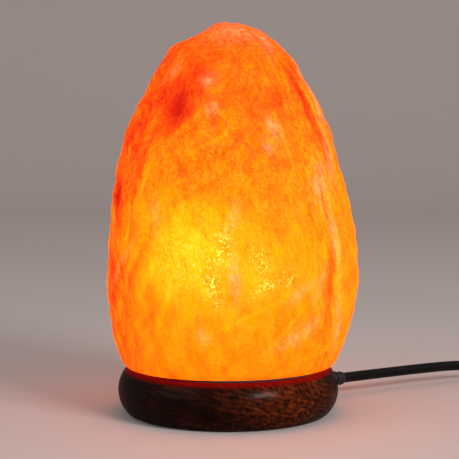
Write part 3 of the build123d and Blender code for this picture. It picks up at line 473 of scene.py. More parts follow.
# The same lump as the solid, in millimetres: two half-ellipses that meet at the belly, gentle lobes and
# knocked-off faces, hollowed by a bore from below.
FOOT_LEVEL, HEIGHT, BELLY, BELLY_RADIUS = 26.4, 184.0, 47.0, 67.4
FOOT_SPREAD, BELLY_SHIFT, FRONT_SHARE = 88.0, 2.0, 0.965
LOBE_TWO, LOBE_THREE, LOBE_TWIST = 0.008, 0.010, radians(55.0)
TWO_PHASE, THREE_PHASE = -1.1, 0.6
BORE_RADIUS, BORE_DEPTH, BORE_DOME, BORE_MOUTH = 23.0, 108.0, 9.0, 2.0
# Each knocked-off face: the direction and the tilt in degrees that it looks in, and its bite in FACE_DEPTH.
FLAT_FACES = (
    (180, 8, 0.25), (178, 28, 0.05), (180, 65, 0.25), (222, 28, 0.93), (214, -6, 0.73), (252, 50, 0.73),
    (262, 6, 0.6), (305, 30, 0.87), (328, 2, 0.73), (2, 17, 1), (4, 30, 1.1), (2, -15, 0.76),
    (40, 12, 0.93), (75, 38, 1), (96, -2, 0.87), (132, 24, 1), (148, -8, 0.8),
)
# In millimetres: the depth of a whole bite, and how softly the faces meet the lump and each other.
FACE_DEPTH, FACE_ROUNDING = 3.0, 0.7
# A face cuts only where a point's direction turns towards it by the least facing. Elsewhere it counts as far
# away, and points near the axis stay where they are.
LEAST_FACING, LEAST_REACH, FAR_AWAY, NEAR_AXIS = 0.05, 1e-6, 1e3, 3.0
# Worn hills (+) and hollows (-) of the solid: direction round the lump in degrees, height above its foot,
# half length, half width, lean to the right from upright in degrees, and rise.
HILLS = (
    (183, 168, 9, 14, 0, 2), (185, 150, 9, 14, 0, -1.2), (187, 136, 9, 14, 0, 0.8),
    (232, 142, 17, 11, 20, -2.2), (238, 125, 22, 10, 44, 1.5), (214, 62, 26, 11, 20, -1.5),
    (262, 52, 28, 26, 0, 1), (268, 120, 20, 14, 60, -0.9), (290, 30, 16, 12, 30, -1),
    (319, 56, 32, 11, 0, -1.8), (338, 62, 34, 12, 0, 0.9), (321, 136, 22, 10, -10, -1.2),
    (20, 96, 24, 16, 10, 1.4), (50, 52, 24, 14, -15, -1.8), (72, 152, 16, 16, 0, -1.6),
    (88, 104, 24, 18, 8, 1.6), (118, 58, 24, 14, 20, -1.8), (140, 144, 16, 14, 0, 1.4),
    (160, 34, 18, 15, 0, 1.1),
)
# The skin's grid: points round it, and rings above and below the belly, under the foot and in the bore.
COLUMNS, UPPER_RINGS, LOWER_RINGS, UNDER_RINGS = 360, 168, 55, 6
WALL_RINGS, DOME_RINGS, CEILING_RINGS = 26, 7, 4
ROUND = np.linspace(0.0, 2 * pi, COLUMNS, endpoint=False)

# Marks of the lit surface: direction round the lump, height above the table, half length, half width, lean
# to the right from upright, and how much warmer (+) or redder (-) the glow is there.
# The thinnest marks, warmer and redder lines side by side, are painted light and shade along ridges.
MARKS = (
    (250, 92, 30, 27, 0, 0.3), (284, 80, 22, 20, 0, 0.12), (318, 95, 40, 22, 0, 0.06),
    (234, 166, 13, 8.5, -14, -0.38), (221.9, 166.1, 16.7, 4.7, -41.1, -0.13),
    (234.5, 165.7, 11.6, 5.4, -22.2, -0.11), (220.8, 175.1, 7.4, 3.6, -38.4, -0.06),
    (243, 181, 9, 8, 14, -0.2), (243, 160, 7.5, 3.5, 16, -0.12), (243.5, 155.5, 12, 1.6, 44, 0.2),
    (212, 173, 6, 3, -10, -0.14), (204.5, 168, 5.2, 2.8, -3, -0.14), (211, 148, 12, 3.5, -2, -0.2),
    (202, 151, 11, 4, 20, -0.16), (220.5, 142, 12, 2.7, -3, -0.16), (204, 119, 14, 5, -8, -0.4),
    (215, 129, 11, 4.6, 0, -0.14), (200, 80, 17, 5, 8, -0.22), (221, 84, 24, 2.7, 34, -0.18),
    (208.6, 79, 13, 2.7, 40, -0.12), (229, 78, 11, 1.9, 27, 0.08), (230, 59, 13, 2.5, 48, -0.12),
    (232, 55, 13, 2.2, -2, -0.1), (323, 84, 19, 2.5, 4, -0.28), (319, 55, 12, 2.9, -2, -0.14),
    (329.7, 84, 18, 3, 0, 0.12), (331.6, 95, 15, 3, -14, -0.1), (325, 169, 12, 2, -5, -0.34),
    (329, 146, 11, 2.7, -13, -0.2), (331, 185, 5, 3, 10, -0.16), (301, 169, 5, 3.7, 9, -0.14),
    (309, 121, 18, 1.9, -3, -0.08), (252, 131, 8, 18, 0, -0.08), (285, 166, 9, 13, -20, -0.05),
    (256.5, 165, 7, 2.9, -20, -0.08), (271, 76, 12, 2.9, 10, -0.09), (272, 36, 14, 60, 0, 0.05),
    (334, 158, 26, 1.3, -9, 0.2), (330, 160, 24, 1.2, -10, -0.16), (316, 138, 12, 1.4, 30, 0.14),
    (325.5, 116, 14, 1.4, -8, 0.16), (322.5, 113, 14, 1.2, -8, -0.12), (224, 128, 16, 1.3, 16, 0.14),
    (217, 110, 18, 1.3, 10, -0.14), (212, 98, 20, 1.2, 22, 0.12), (262, 150, 14, 1.2, 58, 0.12),
    (268, 145, 12, 1.1, 48, -0.12), (282, 140, 12, 1.1, -30, -0.1), (250, 122, 12, 1.2, 62, -0.12),
    (244, 136, 10, 1.2, -40, -0.1), (300, 150, 16, 1.3, -12, 0.12), (276, 60, 20, 1.2, 64, 0.1),
    (238, 62, 14, 1.2, 24, 0.1), (296, 52, 14, 1.2, 40, 0.1),
)
# Pale dust on the worn faces, and painted highlights on the lit ridges at the right: the same first five
# numbers, then how pale it is.
DUST_AND_HIGHLIGHTS = (
    (271, 81, 12, 2.5, -6, 0.6), (270.7, 111, 6, 2.6, 15, 0.35), (345, 188, 14, 3.2, 20, 0.8),
    (320, 200, 7, 2.4, 40, 0.6), (340, 168, 16, 3, 8, 0.6), (333, 138, 10, 3, 6, 0.6),
    (320, 127, 10, 5, 16, 0.6), (327, 97, 16, 3.2, -13, 0.55), (295, 155, 5.3, 2.6, -30, 0.7),
    (290, 146, 3.5, 2.5, -20, 0.55), (258, 165, 3, 3, -30, 0.6), (253, 180, 4, 3.5, -30, 0.45),
    (213, 185, 4.6, 3.8, 26, 0.4), (190, 168, 6.6, 3.2, -16, 0.45), (207, 83, 20, 1.8, 42, 0.3),
    (315, 75, 8.5, 3.8, 30, 0.4), (304, 50, 12, 3.1, 60, 0.6), (303, 72, 7.4, 2.3, 60, 0.4),
    (256.5, 50, 3.6, 2.6, -40, 0.5), (275, 206, 6, 18, 0, 0.4), (233, 112, 6.4, 2.8, -4, 0.35),
    (330, 52, 12, 3.5, -8, 0.55),
)
# Places where the salt sparkles: the same first five numbers, then how much it does.
SPARKS = (
    (265.5, 96, 9, 4.8, 12, 1), (261, 76, 9, 4.2, -16, 0.95), (283, 88, 7.6, 4.4, -20, 0.8),
    (285, 76, 8, 2.8, 58, 1.15), (248, 88, 14, 14, 0, 0.35), (297, 79, 4.4, 3.2, 0, 0.7),
)
# Smaller hollows (-) and swellings (+): the same first five numbers, then their height in millimetres.
DENTS = (
    (184, 204, 3, 9, 0, -0.8), (279, 208, 5, 2.4, 0, -1.1), (352, 172, 6, 12, 0, 0.5),
    (239, 156, 16, 3.6, 44, 0.6), (319, 84, 28, 3.4, -1, -0.6), (327, 92, 26, 4, 0, 0.4),
    (321, 160, 20, 3, -10, -0.6), (214, 90, 26, 3.4, 24, -0.5), (199, 106, 18, 5, 4, -0.5),
)
# Uneven fields of the surface and of the warmth: amount, wavelength, seed, and how drawn out upwards. Each
# is a sum of so many waves.
WAVES = 28
RELIEF_RIPPLES = ((0.22, 24.0, 11, 1.0), (0.26, 11.0, 12, 1.5), (0.13, 5.0, 13, 1.7), (0.05, 2.4, 14, 1.0))
WARMTH_RIPPLES = ((0.025, 11.0, 15, 1.8), (0.015, 4.5, 16, 2.4))
# Over the foot: where the relief fades out, and the height and setback of the rounded edge. Near the tip no
# mark reckons with less than the least radius.
FOOT_FADE, EDGE_HEIGHT, EDGE_SETBACK, LEAST_RADIUS = 6.0, 3.0, 1.5, 4.0
# The glow is warmest between two heights and cools by the millimetre above and below them.
CORE_WARMTH, CORE_TOP, CORE_FOOT, COOLING_UP, COOLING_DOWN = 0.645, 96.0, 86.0, 0.0019, 0.0013
# Sides of the glow and of the upright streaks: middle and half width in degrees, and amount.
COOL_SIDE = (192.0, 26.0, 0.10)
STREAKY_LEFT, STREAKY_RIGHT = (196.0, 20.0, 0.8), (322.0, 11.0, 0.7)
# How streaky the salt is everywhere and how much more so at the back, and how dusty it is everywhere.
STREAKY_ALL, STREAKY_BACK, DUST_ALL = 0.16, 0.4, 0.03
# Marks strewn over the back: their directions, heights and leans, and how long they are for their width.
BACK_DIRECTIONS, BACK_HEIGHTS, BACK_LEANS, BACK_LENGTH = (5.0, 170.0), (34.0, 196.0), (-35.0, 35.0), 2.2
# What the mesh keeps at its points for the salt's material, and its value inside the lump.
LAYERS = {"warmth": 0.72, "dust_and_highlight": 0.15, "sparkle": 0.0, "streaky": 0.8}


def bell(value, middle, half_width, amount):
    """A bell curve: amount x exp(-((value - middle) / half width)^2)."""
    return amount * np.exp(-((value - middle) / half_width) ** 2)


def marked(azimuth, height, radius, marks):
    """The sum of soft oval marks, each a bell curve over its length and its width, turned by its lean."""
    total = np.zeros(np.broadcast(azimuth, height).shape)
    for direction, level, long_half, short_half, lean, amount in marks:
        around = (np.degrees(azimuth) - direction + 180.0) % 360.0 - 180.0
        u = np.radians(around) * np.maximum(radius, short_half)
        v = height - level
        tilt = radians(lean)
        along = v * cos(tilt) + u * sin(tilt)
        across = u * cos(tilt) - v * sin(tilt)
        total += amount * np.exp(-(along / long_half) ** 2 - (across / short_half) ** 2)
    return total


def scattered(seed, count, sizes, amount):
    """Marks for the side that the photograph doesn't show, strewn with a fixed seed.

    Their half widths lie in sizes, and the strongest is as strong as amount.
    """
    rng = np.random.default_rng(seed)
    return tuple((rng.uniform(*BACK_DIRECTIONS), rng.uniform(*BACK_HEIGHTS),
                  rng.uniform(*sizes) * BACK_LENGTH, rng.uniform(*sizes), rng.uniform(*BACK_LEANS),
                  rng.uniform(0.5, 1.0) * amount) for _ in range(count))


def face_shrink(x, y, rise):
    """How far the knocked-off faces draw each point in, as a share of its distance from the axis.

    A face is a plane that stands inside the lump's farthest reach in its own direction by its bite. A point
    ends at the soft minimum of its own distance and of those at which its level ray meets the planes:
    nearest - rounding x log(sum of exp(-(distance - nearest) / rounding)).
    """
    reach = np.hypot(x - BELLY_SHIFT, y) + LEAST_REACH
    limits = [reach]
    for direction, tilt, bite in FLAT_FACES:
        way_x = cos(radians(tilt)) * cos(radians(direction))
        way_y = cos(radians(tilt)) * sin(radians(direction))
        way_z = sin(radians(tilt))
        spread = HEIGHT - BELLY if tilt > 0 else FOOT_SPREAD
        level_reach = BELLY_RADIUS * np.hypot(way_x, FRONT_SHARE * way_y)
        far = np.hypot(level_reach, spread * way_z) - bite * FACE_DEPTH
        facing = (way_x * (x - BELLY_SHIFT) + way_y * y) / reach
        met = (far - way_z * rise) / np.maximum(facing, LEAST_FACING)
        limits.append(np.where(facing > LEAST_FACING, met, FAR_AWAY))
    nearest = np.minimum.reduce(limits)
    weights = sum(np.exp(-(limit - nearest) / FACE_ROUNDING) for limit in limits)
    held = nearest - FACE_ROUNDING * np.log(weights)
    return np.where(reach > NEAR_AXIS, held / reach, 1.0)


def bare_lump():
    """The lump's outside without its relief, in rings from the tip to the foot, and its normals.

    The radius is belly radius x sqrt(1 - level^2), where level is the rise from the belly over the height of
    that half-ellipse. It is multiplied by 1 + two cosines round the lump, which twist as they rise, the
    hills are added, and the knocked-off faces draw it in. The normal is that of the two half-ellipses.
    """
    upper = np.sin(np.linspace(pi / 2, 0.0, UPPER_RINGS)) * (HEIGHT - BELLY) + BELLY
    lower = np.linspace(BELLY, 0.0, LOWER_RINGS + 1)[1:]
    height = np.concatenate([upper, lower])[:, None]
    rise = height - BELLY
    spread = np.where(rise > 0, HEIGHT - BELLY, FOOT_SPREAD)
    radius = BELLY_RADIUS * np.sqrt(np.maximum(0.0, 1.0 - np.clip(rise / spread, -1.0, 1.0) ** 2))
    part_way = height / HEIGHT
    twist = LOBE_TWIST * part_way
    lobes = (1 + LOBE_TWO * np.cos(2 * ROUND + TWO_PHASE + twist)
             + LOBE_THREE * np.cos(3 * ROUND + THREE_PHASE - twist))
    lean = BELLY_SHIFT * np.sin(pi * np.minimum(1.0, 2.0 * part_way))
    outline = radius * lobes + marked(ROUND, height, radius, HILLS)
    x = lean + outline * np.cos(ROUND)
    y = FRONT_SHARE * outline * np.sin(ROUND)
    shrink = face_shrink(x, y, rise)
    x = BELLY_SHIFT + (x - BELLY_SHIFT) * shrink
    y = y * shrink
    level = np.broadcast_to(height, x.shape) + FOOT_LEVEL
    normal = np.stack([(x - BELLY_SHIFT) / BELLY_RADIUS ** 2, y / (FRONT_SHARE * BELLY_RADIUS) ** 2,
                       np.broadcast_to(rise / spread ** 2, x.shape)], axis=-1)
    return np.stack([x, y, level], axis=-1), normal / np.linalg.norm(normal, axis=-1)[..., None]


def bore_skin(foot):
    """The skin inside, in rings: across the cut foot, up the bore's wall, round its dome, over its ceiling.

    Under the foot a point goes straight from the foot's edge to the mouth. In the dome, a quarter circle,
    the radius falls by dome x (1 - cos) as the height gains dome x sin.
    """
    mouth_radius = BORE_RADIUS + BORE_MOUTH
    mouth = np.stack([np.cos(ROUND) * mouth_radius, np.sin(ROUND) * mouth_radius,
                      np.full(COLUMNS, FOOT_LEVEL)], axis=-1)
    inward = np.linspace(1.0, 0.0, UNDER_RINGS + 1)[1:, None, None]
    under = mouth + (foot - mouth) * inward
    top, ceiling_radius = FOOT_LEVEL + BORE_DEPTH, BORE_RADIUS - BORE_DOME
    bend = np.linspace(0.0, pi / 2, DOME_RINGS + 1)[1:]
    radius = np.concatenate([np.full(WALL_RINGS, BORE_RADIUS), BORE_RADIUS - BORE_DOME * (1 - np.cos(bend)),
                             np.linspace(ceiling_radius, 0.0, CEILING_RINGS + 1)[1:]])[:, None]
    height = np.concatenate([np.linspace(FOOT_LEVEL + BORE_MOUTH, top - BORE_DOME, WALL_RINGS),
                             top - BORE_DOME * (1 - np.sin(bend)), np.full(CEILING_RINGS, top)])[:, None]
    bore = np.stack(np.broadcast_arrays(radius * np.cos(ROUND), radius * np.sin(ROUND), height), axis=-1)
    return np.concatenate([under, bore])


def crystal_grid(relief):
    """The crystal's whole skin, down the outside from the tip and up the bore, and what LAYERS names.

    A point outside is pushed along its normal by the ripples and the dents, less and less near the foot. The
    foot's edge is then rounded: it is drawn in by setback x (1 - height / edge height)^2.
    """
    bare, normal = bare_lump()
    x, y, level = bare[..., 0], bare[..., 1], bare[..., 2]
    around = np.arctan2(y, x - BELLY_SHIFT)
    bearing = np.degrees(around) % 360.0
    radius = np.maximum(np.hypot(x - BELLY_SHIFT, y), LEAST_RADIUS)
    push = sum(amount * ripples(bare, *field) for amount, *field in RELIEF_RIPPLES) * (relief / MM)
    push += marked(around, level, radius, DENTS + scattered(21, 10, (3.0, 7.0), -0.6))
    over_foot = level - FOOT_LEVEL
    outside = bare + normal * (push * np.clip(over_foot / FOOT_FADE, 0.0, 1.0))[..., None]
    setback = EDGE_SETBACK * np.clip(1.0 - over_foot / EDGE_HEIGHT, 0.0, 1.0) ** 2
    trim = 1.0 - setback / radius
    outside[..., 0] = BELLY_SHIFT + (outside[..., 0] - BELLY_SHIFT) * trim
    outside[..., 1] *= trim
    outside[-1, :, 2] = FOOT_LEVEL

    warmth = CORE_WARMTH - COOLING_UP * np.clip(level - CORE_TOP, 0, None)
    warmth -= COOLING_DOWN * np.clip(CORE_FOOT - level, 0, None)
    warmth -= bell(bearing, *COOL_SIDE)
    warmth += marked(around, level, radius,
                     MARKS + scattered(22, 16, (2.0, 5.0), -0.20) + scattered(23, 8, (5.0, 16.0), 0.18))
    for amount, *field in WARMTH_RIPPLES:
        warmth += amount * ripples(outside, *field)
    # Pale dust, partly painted highlights on the lit ridges at the right.
    dust_and_highlight = DUST_ALL + marked(around, level, radius, DUST_AND_HIGHLIGHTS + scattered(24, 16, (3.0, 7.0), 0.8))
    sparkle = marked(around, level, radius, SPARKS + scattered(25, 5, (3.0, 5.0), 0.9))
    streaky = STREAKY_ALL + bell(bearing, *STREAKY_LEFT) + bell(bearing, *STREAKY_RIGHT)
    streaky += STREAKY_BACK * np.clip(np.sin(around), 0.0, 1.0)
    inside = bore_skin(outside[-1])
    layers = {name: np.concatenate([values, np.full(inside.shape[:2], LAYERS[name])])
              for name, values in zip(LAYERS, (warmth, dust_and_highlight, sparkle, streaky))}
    return np.concatenate([outside, inside]) * MM, layers


# ---------------------------------------------------------------- the cord's route

# In millimetres, as the solids have it, with heights above the table. COIL_MEAN is the coil's mean radius.
CORD_HEADING, CORD_HEIGHT, BUSH_END = radians(33.0), 10.4, 78.0
DIMMER_PLACE, DIMMER_HEADING, PORT_HEIGHT, PORT_REACH = (212.8, 26.1), radians(-70.0), 7.0, 37.0
PLUG_PLACE, PLUG_HEADING, PLUG_HEIGHT = (161.8, -129.7), radians(212.0), 6.85
COIL_X, COIL_Y, COIL_TURNS, COIL_START = 182.0, -65.1, 6.111, radians(-20.0)
COIL_MEAN, TURN_PITCH, CORD_FLOOR = 35.5, 6.3, 3.0
DIMMER_RUN, LEAD_RUN, TAIL_RUN, COIL_STUB = 21.2, 22.0, 14.0, 5.8
# How round a cord is, and its steps from one point of its line to the next.
CORD_ROUNDNESS, CORD_STEPS = 5, 8


def ahead(place, heading, height, distance, side=0.0):
    """A point at a height, a distance from a place along a heading and side to its left."""
    return (place[0] + distance * cos(heading) - side * sin(heading),
            place[1] + distance * sin(heading) + side * cos(heading), height)


def off_lamp(distance, side=0.0, height=CORD_HEIGHT):
    """A point a distance from the lamp's axis along the cord's heading."""
    return ahead((0.0, 0.0), CORD_HEADING, height, distance, side)


def off_dimmer(distance):
    """A point a distance along the dimmer from its middle, at the height of its ports."""
    return ahead(DIMMER_PLACE, DIMMER_HEADING, PORT_HEIGHT, distance)


def off_plug(distance):
    """A point a distance along the plug from where the cord enters it."""
    return ahead(PLUG_PLACE, PLUG_HEADING, PLUG_HEIGHT, distance)


def coil_line(turns, widen=1.0):
    """Points of the coil: it spirals in on the table, climbs a layer in half a turn and spirals out on top.

    The radius shrinks from its first value by a pitch a turn and then grows back, the angle goes round with
    the turns, and the height follows 3c^2 - 2c^3 as c goes from 0 to 1 in the climb.
    """
    from_end = np.minimum(turns, COIL_TURNS - turns)
    radius = COIL_MEAN + TURN_PITCH * (COIL_TURNS / 4 - from_end)
    climb = np.clip(2 * (turns - COIL_TURNS / 2) + 0.5, 0.0, 1.0)
    height = CORD_FLOOR + TURN_PITCH * climb * climb * (3 - 2 * climb)
    angle = COIL_START - 2 * pi * turns
    return np.stack([COIL_X + widen * radius * np.cos(angle), COIL_Y + widen * radius * np.sin(angle),
                     height], axis=-1)


def coil_way(turns):
    """The direction of the coil's line, from two points a hundredth of a turn to each side."""
    past, before = coil_line(np.array([turns + 0.01, turns - 0.01]))
    return (past - before) / np.linalg.norm(past - before)


def cord_curve(name, points, thickness, material):
    """A smooth cord: a NURBS line of order three that starts and ends on its first and last points."""
    curve = bpy.data.curves.new(name, "CURVE")
    curve.dimensions = "3D"
    curve.bevel_depth = thickness / 2
    curve.bevel_resolution = CORD_ROUNDNESS
    curve.use_fill_caps = True
    line = curve.splines.new("NURBS")
    line.points.add(len(points) - 1)
    line.points.foreach_set("co", np.c_[np.array(points) * MM, np.ones(len(points))].ravel())
    line.order_u = 3
    line.use_endpoint_u = True
    line.resolution_u = CORD_STEPS
    line.use_smooth = True
    curve.materials.append(material)
    return place_in_scene(name, curve)


# ---------------------------------------------------------------- the stage

# In metres: the floor's half width, its front edge, where it bends up, its bend's radius, and its top.
FLOOR_HALF_WIDTH, FLOOR_FRONT, BEND_START, BEND_RADIUS, BACKDROP_TOP = 3.0, -2.5, 1.5, 0.9, 3.2
BEND_ROWS = 17
# Each soft lamp: where it hangs, what it is aimed at, its width and height, and its colour.
KEY_LAMP = ((0.76, -0.90, 0.72), (0.0, 0.0, 0.06), (0.50, 0.32), (1.0, 0.97, 0.95))
FILL_LAMP = ((-0.95, -0.55, 0.75), (0.0, 0.0, 0.10), (0.9, 0.9), (0.96, 0.97, 1.0))
ROOM_COLOUR = (1.0, 0.985, 0.98)
# The camera: its place, how far it looks down, its focal length, the frame's width and the middle column of
# the view in pixels, the sensor's width in millimetres, and how far it sees in metres.
CAMERA_PLACE, CAMERA_DOWN = (0.0, -0.8, 0.1661), radians(4.75)
LENS_PIXELS, FRAME_PIXELS, MIDDLE_PIXEL = 1481.0, 459.0, 228.2
SENSOR_WIDTH, FARTHEST_VIEW = 36.0, 20.0


def floor_and_backdrop(tint):
    """Pale paper that lies level and bends up behind the lamp: flat, then a quarter circle, then upright."""
    f = Finish("stage_paper")
    shade = tuple(part * 0.985 for part in tint)
    f.plain(Base_Color=f.mix(f.noise(35.0), tint, shade), Roughness=0.75, Specular_IOR_Level=0.2)
    bend = np.linspace(0.0, pi / 2, BEND_ROWS)
    depth = np.concatenate([[FLOOR_FRONT], BEND_START + BEND_RADIUS * np.sin(bend),
                            [BEND_START + BEND_RADIUS]])
    rise = np.concatenate([[0.0], BEND_RADIUS - BEND_RADIUS * np.cos(bend), [BACKDROP_TOP]])
    across = np.array([-FLOOR_HALF_WIDTH, FLOOR_HALF_WIDTH])
    grid = np.stack(np.broadcast_arrays(across, depth[:, None], rise[:, None]), axis=-1)
    corner = np.arange(len(depth) - 1) * 2
    faces = np.stack([corner, corner + 1, corner + 3, corner + 2], axis=-1).tolist()
    return smooth_mesh("floor_and_backdrop", grid.reshape(-1, 3), faces, f.material)


def soft_lamp(name, watts, place, aim, size, tint):
    """A rectangular lamp that faces what it is aimed at."""
    light = bpy.data.lights.new(name, "AREA")
    light.shape = "RECTANGLE"
    light.size, light.size_y = size
    light.energy = watts
    light.color = tint
    lamp = place_in_scene(name, light)
    lamp.location = place
    lamp.rotation_euler = (Vector(aim) - Vector(place)).to_track_quat("-Z", "Y").to_euler()


def set_camera(scene):
    """The photograph's camera: its lens is focal length / frame width, in pixels, x the sensor's width."""
    camera = bpy.data.cameras.new("camera")
    camera.sensor_width = SENSOR_WIDTH
    camera.lens = LENS_PIXELS / FRAME_PIXELS * camera.sensor_width
    camera.shift_x = (FRAME_PIXELS / 2 - MIDDLE_PIXEL) / FRAME_PIXELS
    camera.clip_end = FARTHEST_VIEW
    view = place_in_scene("camera", camera)
    view.location = CAMERA_PLACE
    view.rotation_euler = (pi / 2 - CAMERA_DOWN, 0.0, 0.0)
    scene.camera = view


# ---------------------------------------------------------------- operators


class SALTLAMP_OT_stage(bpy.types.Operator):
    """Lay the floor, hang the soft lamps and set the camera at the photograph's place."""
    bl_idname = "salt_lamp.stage"
    bl_label = "Stage"

    def execute(self, context):
        scene = context.scene
        look = scene.salt_lamp_stage
        floor_and_backdrop(tuple(look.floor_colour))
        soft_lamp("key", look.key_strength, *KEY_LAMP)
        soft_lamp("fill", look.fill_strength, *FILL_LAMP)
        world = bpy.data.worlds.new("room")
        world.use_nodes = True
        background = world.node_tree.nodes["Background"]
        background.inputs["Color"].default_value = (*ROOM_COLOUR, 1.0)
        background.inputs["Strength"].default_value = look.room_light
        scene.world = world
        scene.view_settings.view_transform = "Standard"
        set_camera(scene)
        return {"FINISHED"}


class SALTLAMP_OT_cord(bpy.types.Operator):
    """Run the cord from the base to the dimmer, and from there round its coil to the plug."""
    bl_idname = "salt_lamp.cord"
    bl_label = "Cord"

    def execute(self, context):
        look = context.scene.salt_lamp_cord
        sheath = finish_cord(tuple(look.cord_colour))
        # Straight out of the bush, then round in a wide bend to the dimmer's port, sinking a little.
        lamp_line = [off_lamp(BUSH_END), off_lamp(120.0), off_lamp(174.0, -0.8, 9.6), (172.4, 94.4, 6.0),
                     off_dimmer(-PORT_REACH - DIMMER_RUN), off_dimmer(-PORT_REACH)]
        lead = cord_curve("cord_to_dimmer", lamp_line, look.thickness, sheath)
        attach(lead, "base")
        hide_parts("lamp_cord")

        # The coil's points stand a little wide, because its line cuts inside them.
        widen = 1 / cos(pi / look.turn_points)
        turns = np.linspace(0.0, COIL_TURNS, ceil(COIL_TURNS * look.turn_points) + 1)
        way_in, way_out = coil_way(0.0), coil_way(COIL_TURNS)
        start, end = coil_line(np.array([0.0, COIL_TURNS]))
        plug_line = [off_dimmer(PORT_REACH), off_dimmer(PORT_REACH + LEAD_RUN),
                     start - way_in * (COIL_STUB + LEAD_RUN), start - way_in * COIL_STUB,
                     *coil_line(turns, widen),
                     end + way_out * COIL_STUB, end + way_out * (COIL_STUB + TAIL_RUN),
                     off_plug(-TAIL_RUN), off_plug(0.0)]
        long_lead = cord_curve("cord_to_plug", plug_line, look.thickness, sheath)
        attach(long_lead, "base")
        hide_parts("plug_lead", "cord_coil", "plug_tail")
        give(sheath, "inner_lead", "dimmer_leads")
        give(moulded("bush_rubber", (0.008, 0.008, 0.008), 0.6), "cord_bush")
        return {"FINISHED"}


class SALTLAMP_OT_crystal(bpy.types.Operator):
    """Carve the hollow lump of rock salt and light it from inside."""
    bl_idname = "salt_lamp.crystal"
    bl_label = "Salt crystal"

    def execute(self, context):
        look = context.scene.salt_lamp_crystal
        grid, layers = crystal_grid(look.relief)
        lump = closed_skin("salt_lump", grid, finish_salt(look))
        for name, values in layers.items():
            layer = lump.data.attributes.new(name, "FLOAT", "POINT")
            layer.data.foreach_set("value", skin_order(values).astype(np.float32))
        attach(lump, "crystal")
        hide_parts("salt_crystal")
        return {"FINISHED"}


class SALTLAMP_OT_base(bpy.types.Operator):
    """Finish the turned base, its soft rings, its cover and the cord's grip."""
    bl_idname = "salt_lamp.base"
    bl_label = "Wooden base"

    def execute(self, context):
        give(finish_wood(context.scene.salt_lamp_wood), "wooden_base")
        felt = Finish("dark_felt")
        fibres = felt.noise(1400.0, 3.0, 0.7)
        felt.plain(Base_Color=felt.mix(fibres, (0.010, 0.006, 0.005), (0.035, 0.022, 0.018)),
                   Roughness=0.95, Sheen_Weight=0.3, Normal=felt.bump(fibres, 0.3 * MM))
        give(felt.material, "crystal_pad")
        give(moulded("foot_rubber", (0.03, 0.029, 0.028), 0.7), "foot_ring")
        give(moulded("cover_board", (0.045, 0.040, 0.036), 0.65, 0.08 * MM, 1200.0), "bottom_cover")
        give(metal("bright_zinc", (0.62, 0.61, 0.58), 0.3), "cover_screws", "plate_screws",
             "cord_grip_screws", "terminal_screws", "dimmer_screws")
        give(moulded("grip_plastic", (0.06, 0.06, 0.06), 0.5), "cord_grip_block", "cord_grip_bar")
        return {"FINISHED"}


class SALTLAMP_OT_bulb(bpy.types.Operator):
    """Finish the lampholder and light the bulb in it."""
    bl_idname = "salt_lamp.bulb"
    bl_label = "Lampholder and bulb"

    def execute(self, context):
        look = context.scene.salt_lamp_fittings
        give(moulded("holder_plastic", look.plastic_colour, 0.45), "lampholder_cap", "lampholder_shell")
        give(metal("contact_brass", look.brass_colour, 0.26),
             "thread_shell", "centre_contact", "terminals", "cap_contact")
        give(metal("plate_steel", (0.58, 0.58, 0.57), 0.34),
             "mounting_plate", "threaded_nipple", "nipple_nut")
        ceramic = Finish("white_ceramic")
        cloud = ceramic.noise(300.0)
        ceramic.plain(Base_Color=ceramic.mix(cloud, (0.80, 0.77, 0.71), (0.88, 0.86, 0.81)), Roughness=0.45,
                      Normal=ceramic.bump(ceramic.noise(1500.0, 2.0), 0.03 * MM))
        give(ceramic.material, "lampholder_insert")
        wires = two_cores("wire_insulation", CORD_HEADING)
        wires.plain(Normal=wires.bump(wires.noise(1600.0, 2.0), 0.03 * MM))
        give(wires.material, "inner_wires")
        give(two_cores("dimmer_wire_insulation", DIMMER_HEADING, *DIMMER_PLACE).material, "dimmer_wires")
        give(metal("cap_aluminium", (0.78, 0.78, 0.76), 0.3), "bulb_cap")
        give(moulded("black_glass", (0.01, 0.01, 0.014), 0.12), "cap_insulator")
        glass = Finish("clear_glass")
        glass.plain(Base_Color=(1.0, 0.97, 0.92), Roughness=0.02, IOR=1.45, Transmission_Weight=1.0,
                    Normal=glass.bump(glass.noise(60.0, 2.0), 0.1 * MM))
        give(glass.material, "bulb_glass", "bulb_stem")
        give(metal("support_wire", (0.5, 0.45, 0.38), 0.35), "bulb_supports")
        hot = Finish("hot_filament")
        hot.plain(Base_Color=(1.0, 0.6, 0.25), Roughness=0.5, Emission_Color=(1.0, 0.42, 0.08),
                  Emission_Strength=look.filament_strength)
        give(hot.material, "bulb_filament")
        return {"FINISHED"}


class SALTLAMP_OT_dimmer(bpy.types.Operator):
    """Finish the rotary dimmer and what its case holds."""
    bl_idname = "salt_lamp.dimmer"
    bl_label = "Dimmer"

    def execute(self, context):
        plastic = context.scene.salt_lamp_fittings.plastic_colour
        give(moulded("case_plastic", plastic, 0.3, 0.02 * MM, 3200.0, coat=0.2),
             "dimmer_case_bottom", "dimmer_case_top")
        give(moulded("sleeve_rubber", (0.007, 0.007, 0.007), 0.6), "dimmer_sleeves")
        give(moulded("dial_plastic", (0.028, 0.028, 0.029), 0.42), "dimmer_dial")
        give(metal("shaft_metal", (0.72, 0.72, 0.72), 0.3), "dimmer_shaft")
        board = Finish("green_board")
        tracks = board.math("GREATER_THAN", board.cell_edges(240.0), 0.12)
        board.plain(Base_Color=board.mix(tracks, (0.05, 0.20, 0.07), (0.02, 0.11, 0.04)), Roughness=0.35)
        give(board.material, "dimmer_board")
        give(moulded("control_grey", (0.30, 0.30, 0.32), 0.4), "dimmer_control")
        give(moulded("part_coating", (0.34, 0.14, 0.05), 0.3, coat=0.3), "dimmer_parts")
        return {"FINISHED"}


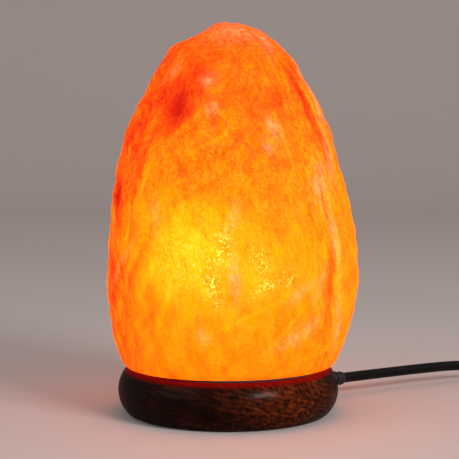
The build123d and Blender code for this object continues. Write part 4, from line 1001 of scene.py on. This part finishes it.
class SALTLAMP_OT_plug(bpy.types.Operator):
    """Finish the flat plug, its pins and their sleeves."""
    bl_idname = "salt_lamp.plug"
    bl_label = "Plug"

    def execute(self, context):
        give(moulded("plug_plastic", context.scene.salt_lamp_fittings.plastic_colour, 0.48), "plug_body")
        give(metal("nickel_pins", (0.74, 0.70, 0.60), 0.2, turned=False), "plug_pins")
        give(moulded("pin_sleeve", (0.02, 0.02, 0.02), 0.5), "pin_sleeves")
        return {"FINISHED"}


class SALTLAMP_PT_panel(bpy.types.Panel):
    """The lamp's sizes, colours and steps."""
    bl_idname = "SALTLAMP_PT_panel"
    bl_label = "Salt crystal lamp"
    bl_space_type = "VIEW_3D"
    bl_region_type = "UI"
    bl_category = "Salt Lamp"

    def draw(self, context):
        for name, group in GROUPS.items():
            box = self.layout.box()
            box.label(text=group.__name__.replace("SaltLamp", ""))
            for prop in group.__annotations__:
                box.prop(getattr(context.scene, name), prop)
        for step in STEPS:
            self.layout.operator(step.bl_idname)


GROUPS = {
    "salt_lamp_stage": SaltLampStage,
    "salt_lamp_crystal": SaltLampCrystal,
    "salt_lamp_wood": SaltLampWood,
    "salt_lamp_cord": SaltLampCord,
    "salt_lamp_fittings": SaltLampFittings,
}
STEPS = (SALTLAMP_OT_stage, SALTLAMP_OT_cord, SALTLAMP_OT_crystal, SALTLAMP_OT_base, SALTLAMP_OT_bulb,
         SALTLAMP_OT_dimmer, SALTLAMP_OT_plug)


def register():
    """Makes the properties, the steps and the panel known to Blender."""
    for group in GROUPS.values():
        bpy.utils.register_class(group)
    for name, group in GROUPS.items():
        setattr(bpy.types.Scene, name, PointerProperty(type=group))
    for step in STEPS:
        bpy.utils.register_class(step)
    bpy.utils.register_class(SALTLAMP_PT_panel)


def unregister():
    """Takes the panel, the steps and the properties away again."""
    bpy.utils.unregister_class(SALTLAMP_PT_panel)
    for step in reversed(STEPS):
        bpy.utils.unregister_class(step)
    for name, group in GROUPS.items():
        delattr(bpy.types.Scene, name)
        bpy.utils.unregister_class(group)


def main():
    """Runs every step in order."""
    register()
    bpy.ops.salt_lamp.stage()
    bpy.ops.salt_lamp.cord()
    bpy.ops.salt_lamp.crystal()
    bpy.ops.salt_lamp.base()
    bpy.ops.salt_lamp.bulb()
    bpy.ops.salt_lamp.dimmer()
    bpy.ops.salt_lamp.plug()


if __name__ == "__main__":
    main()
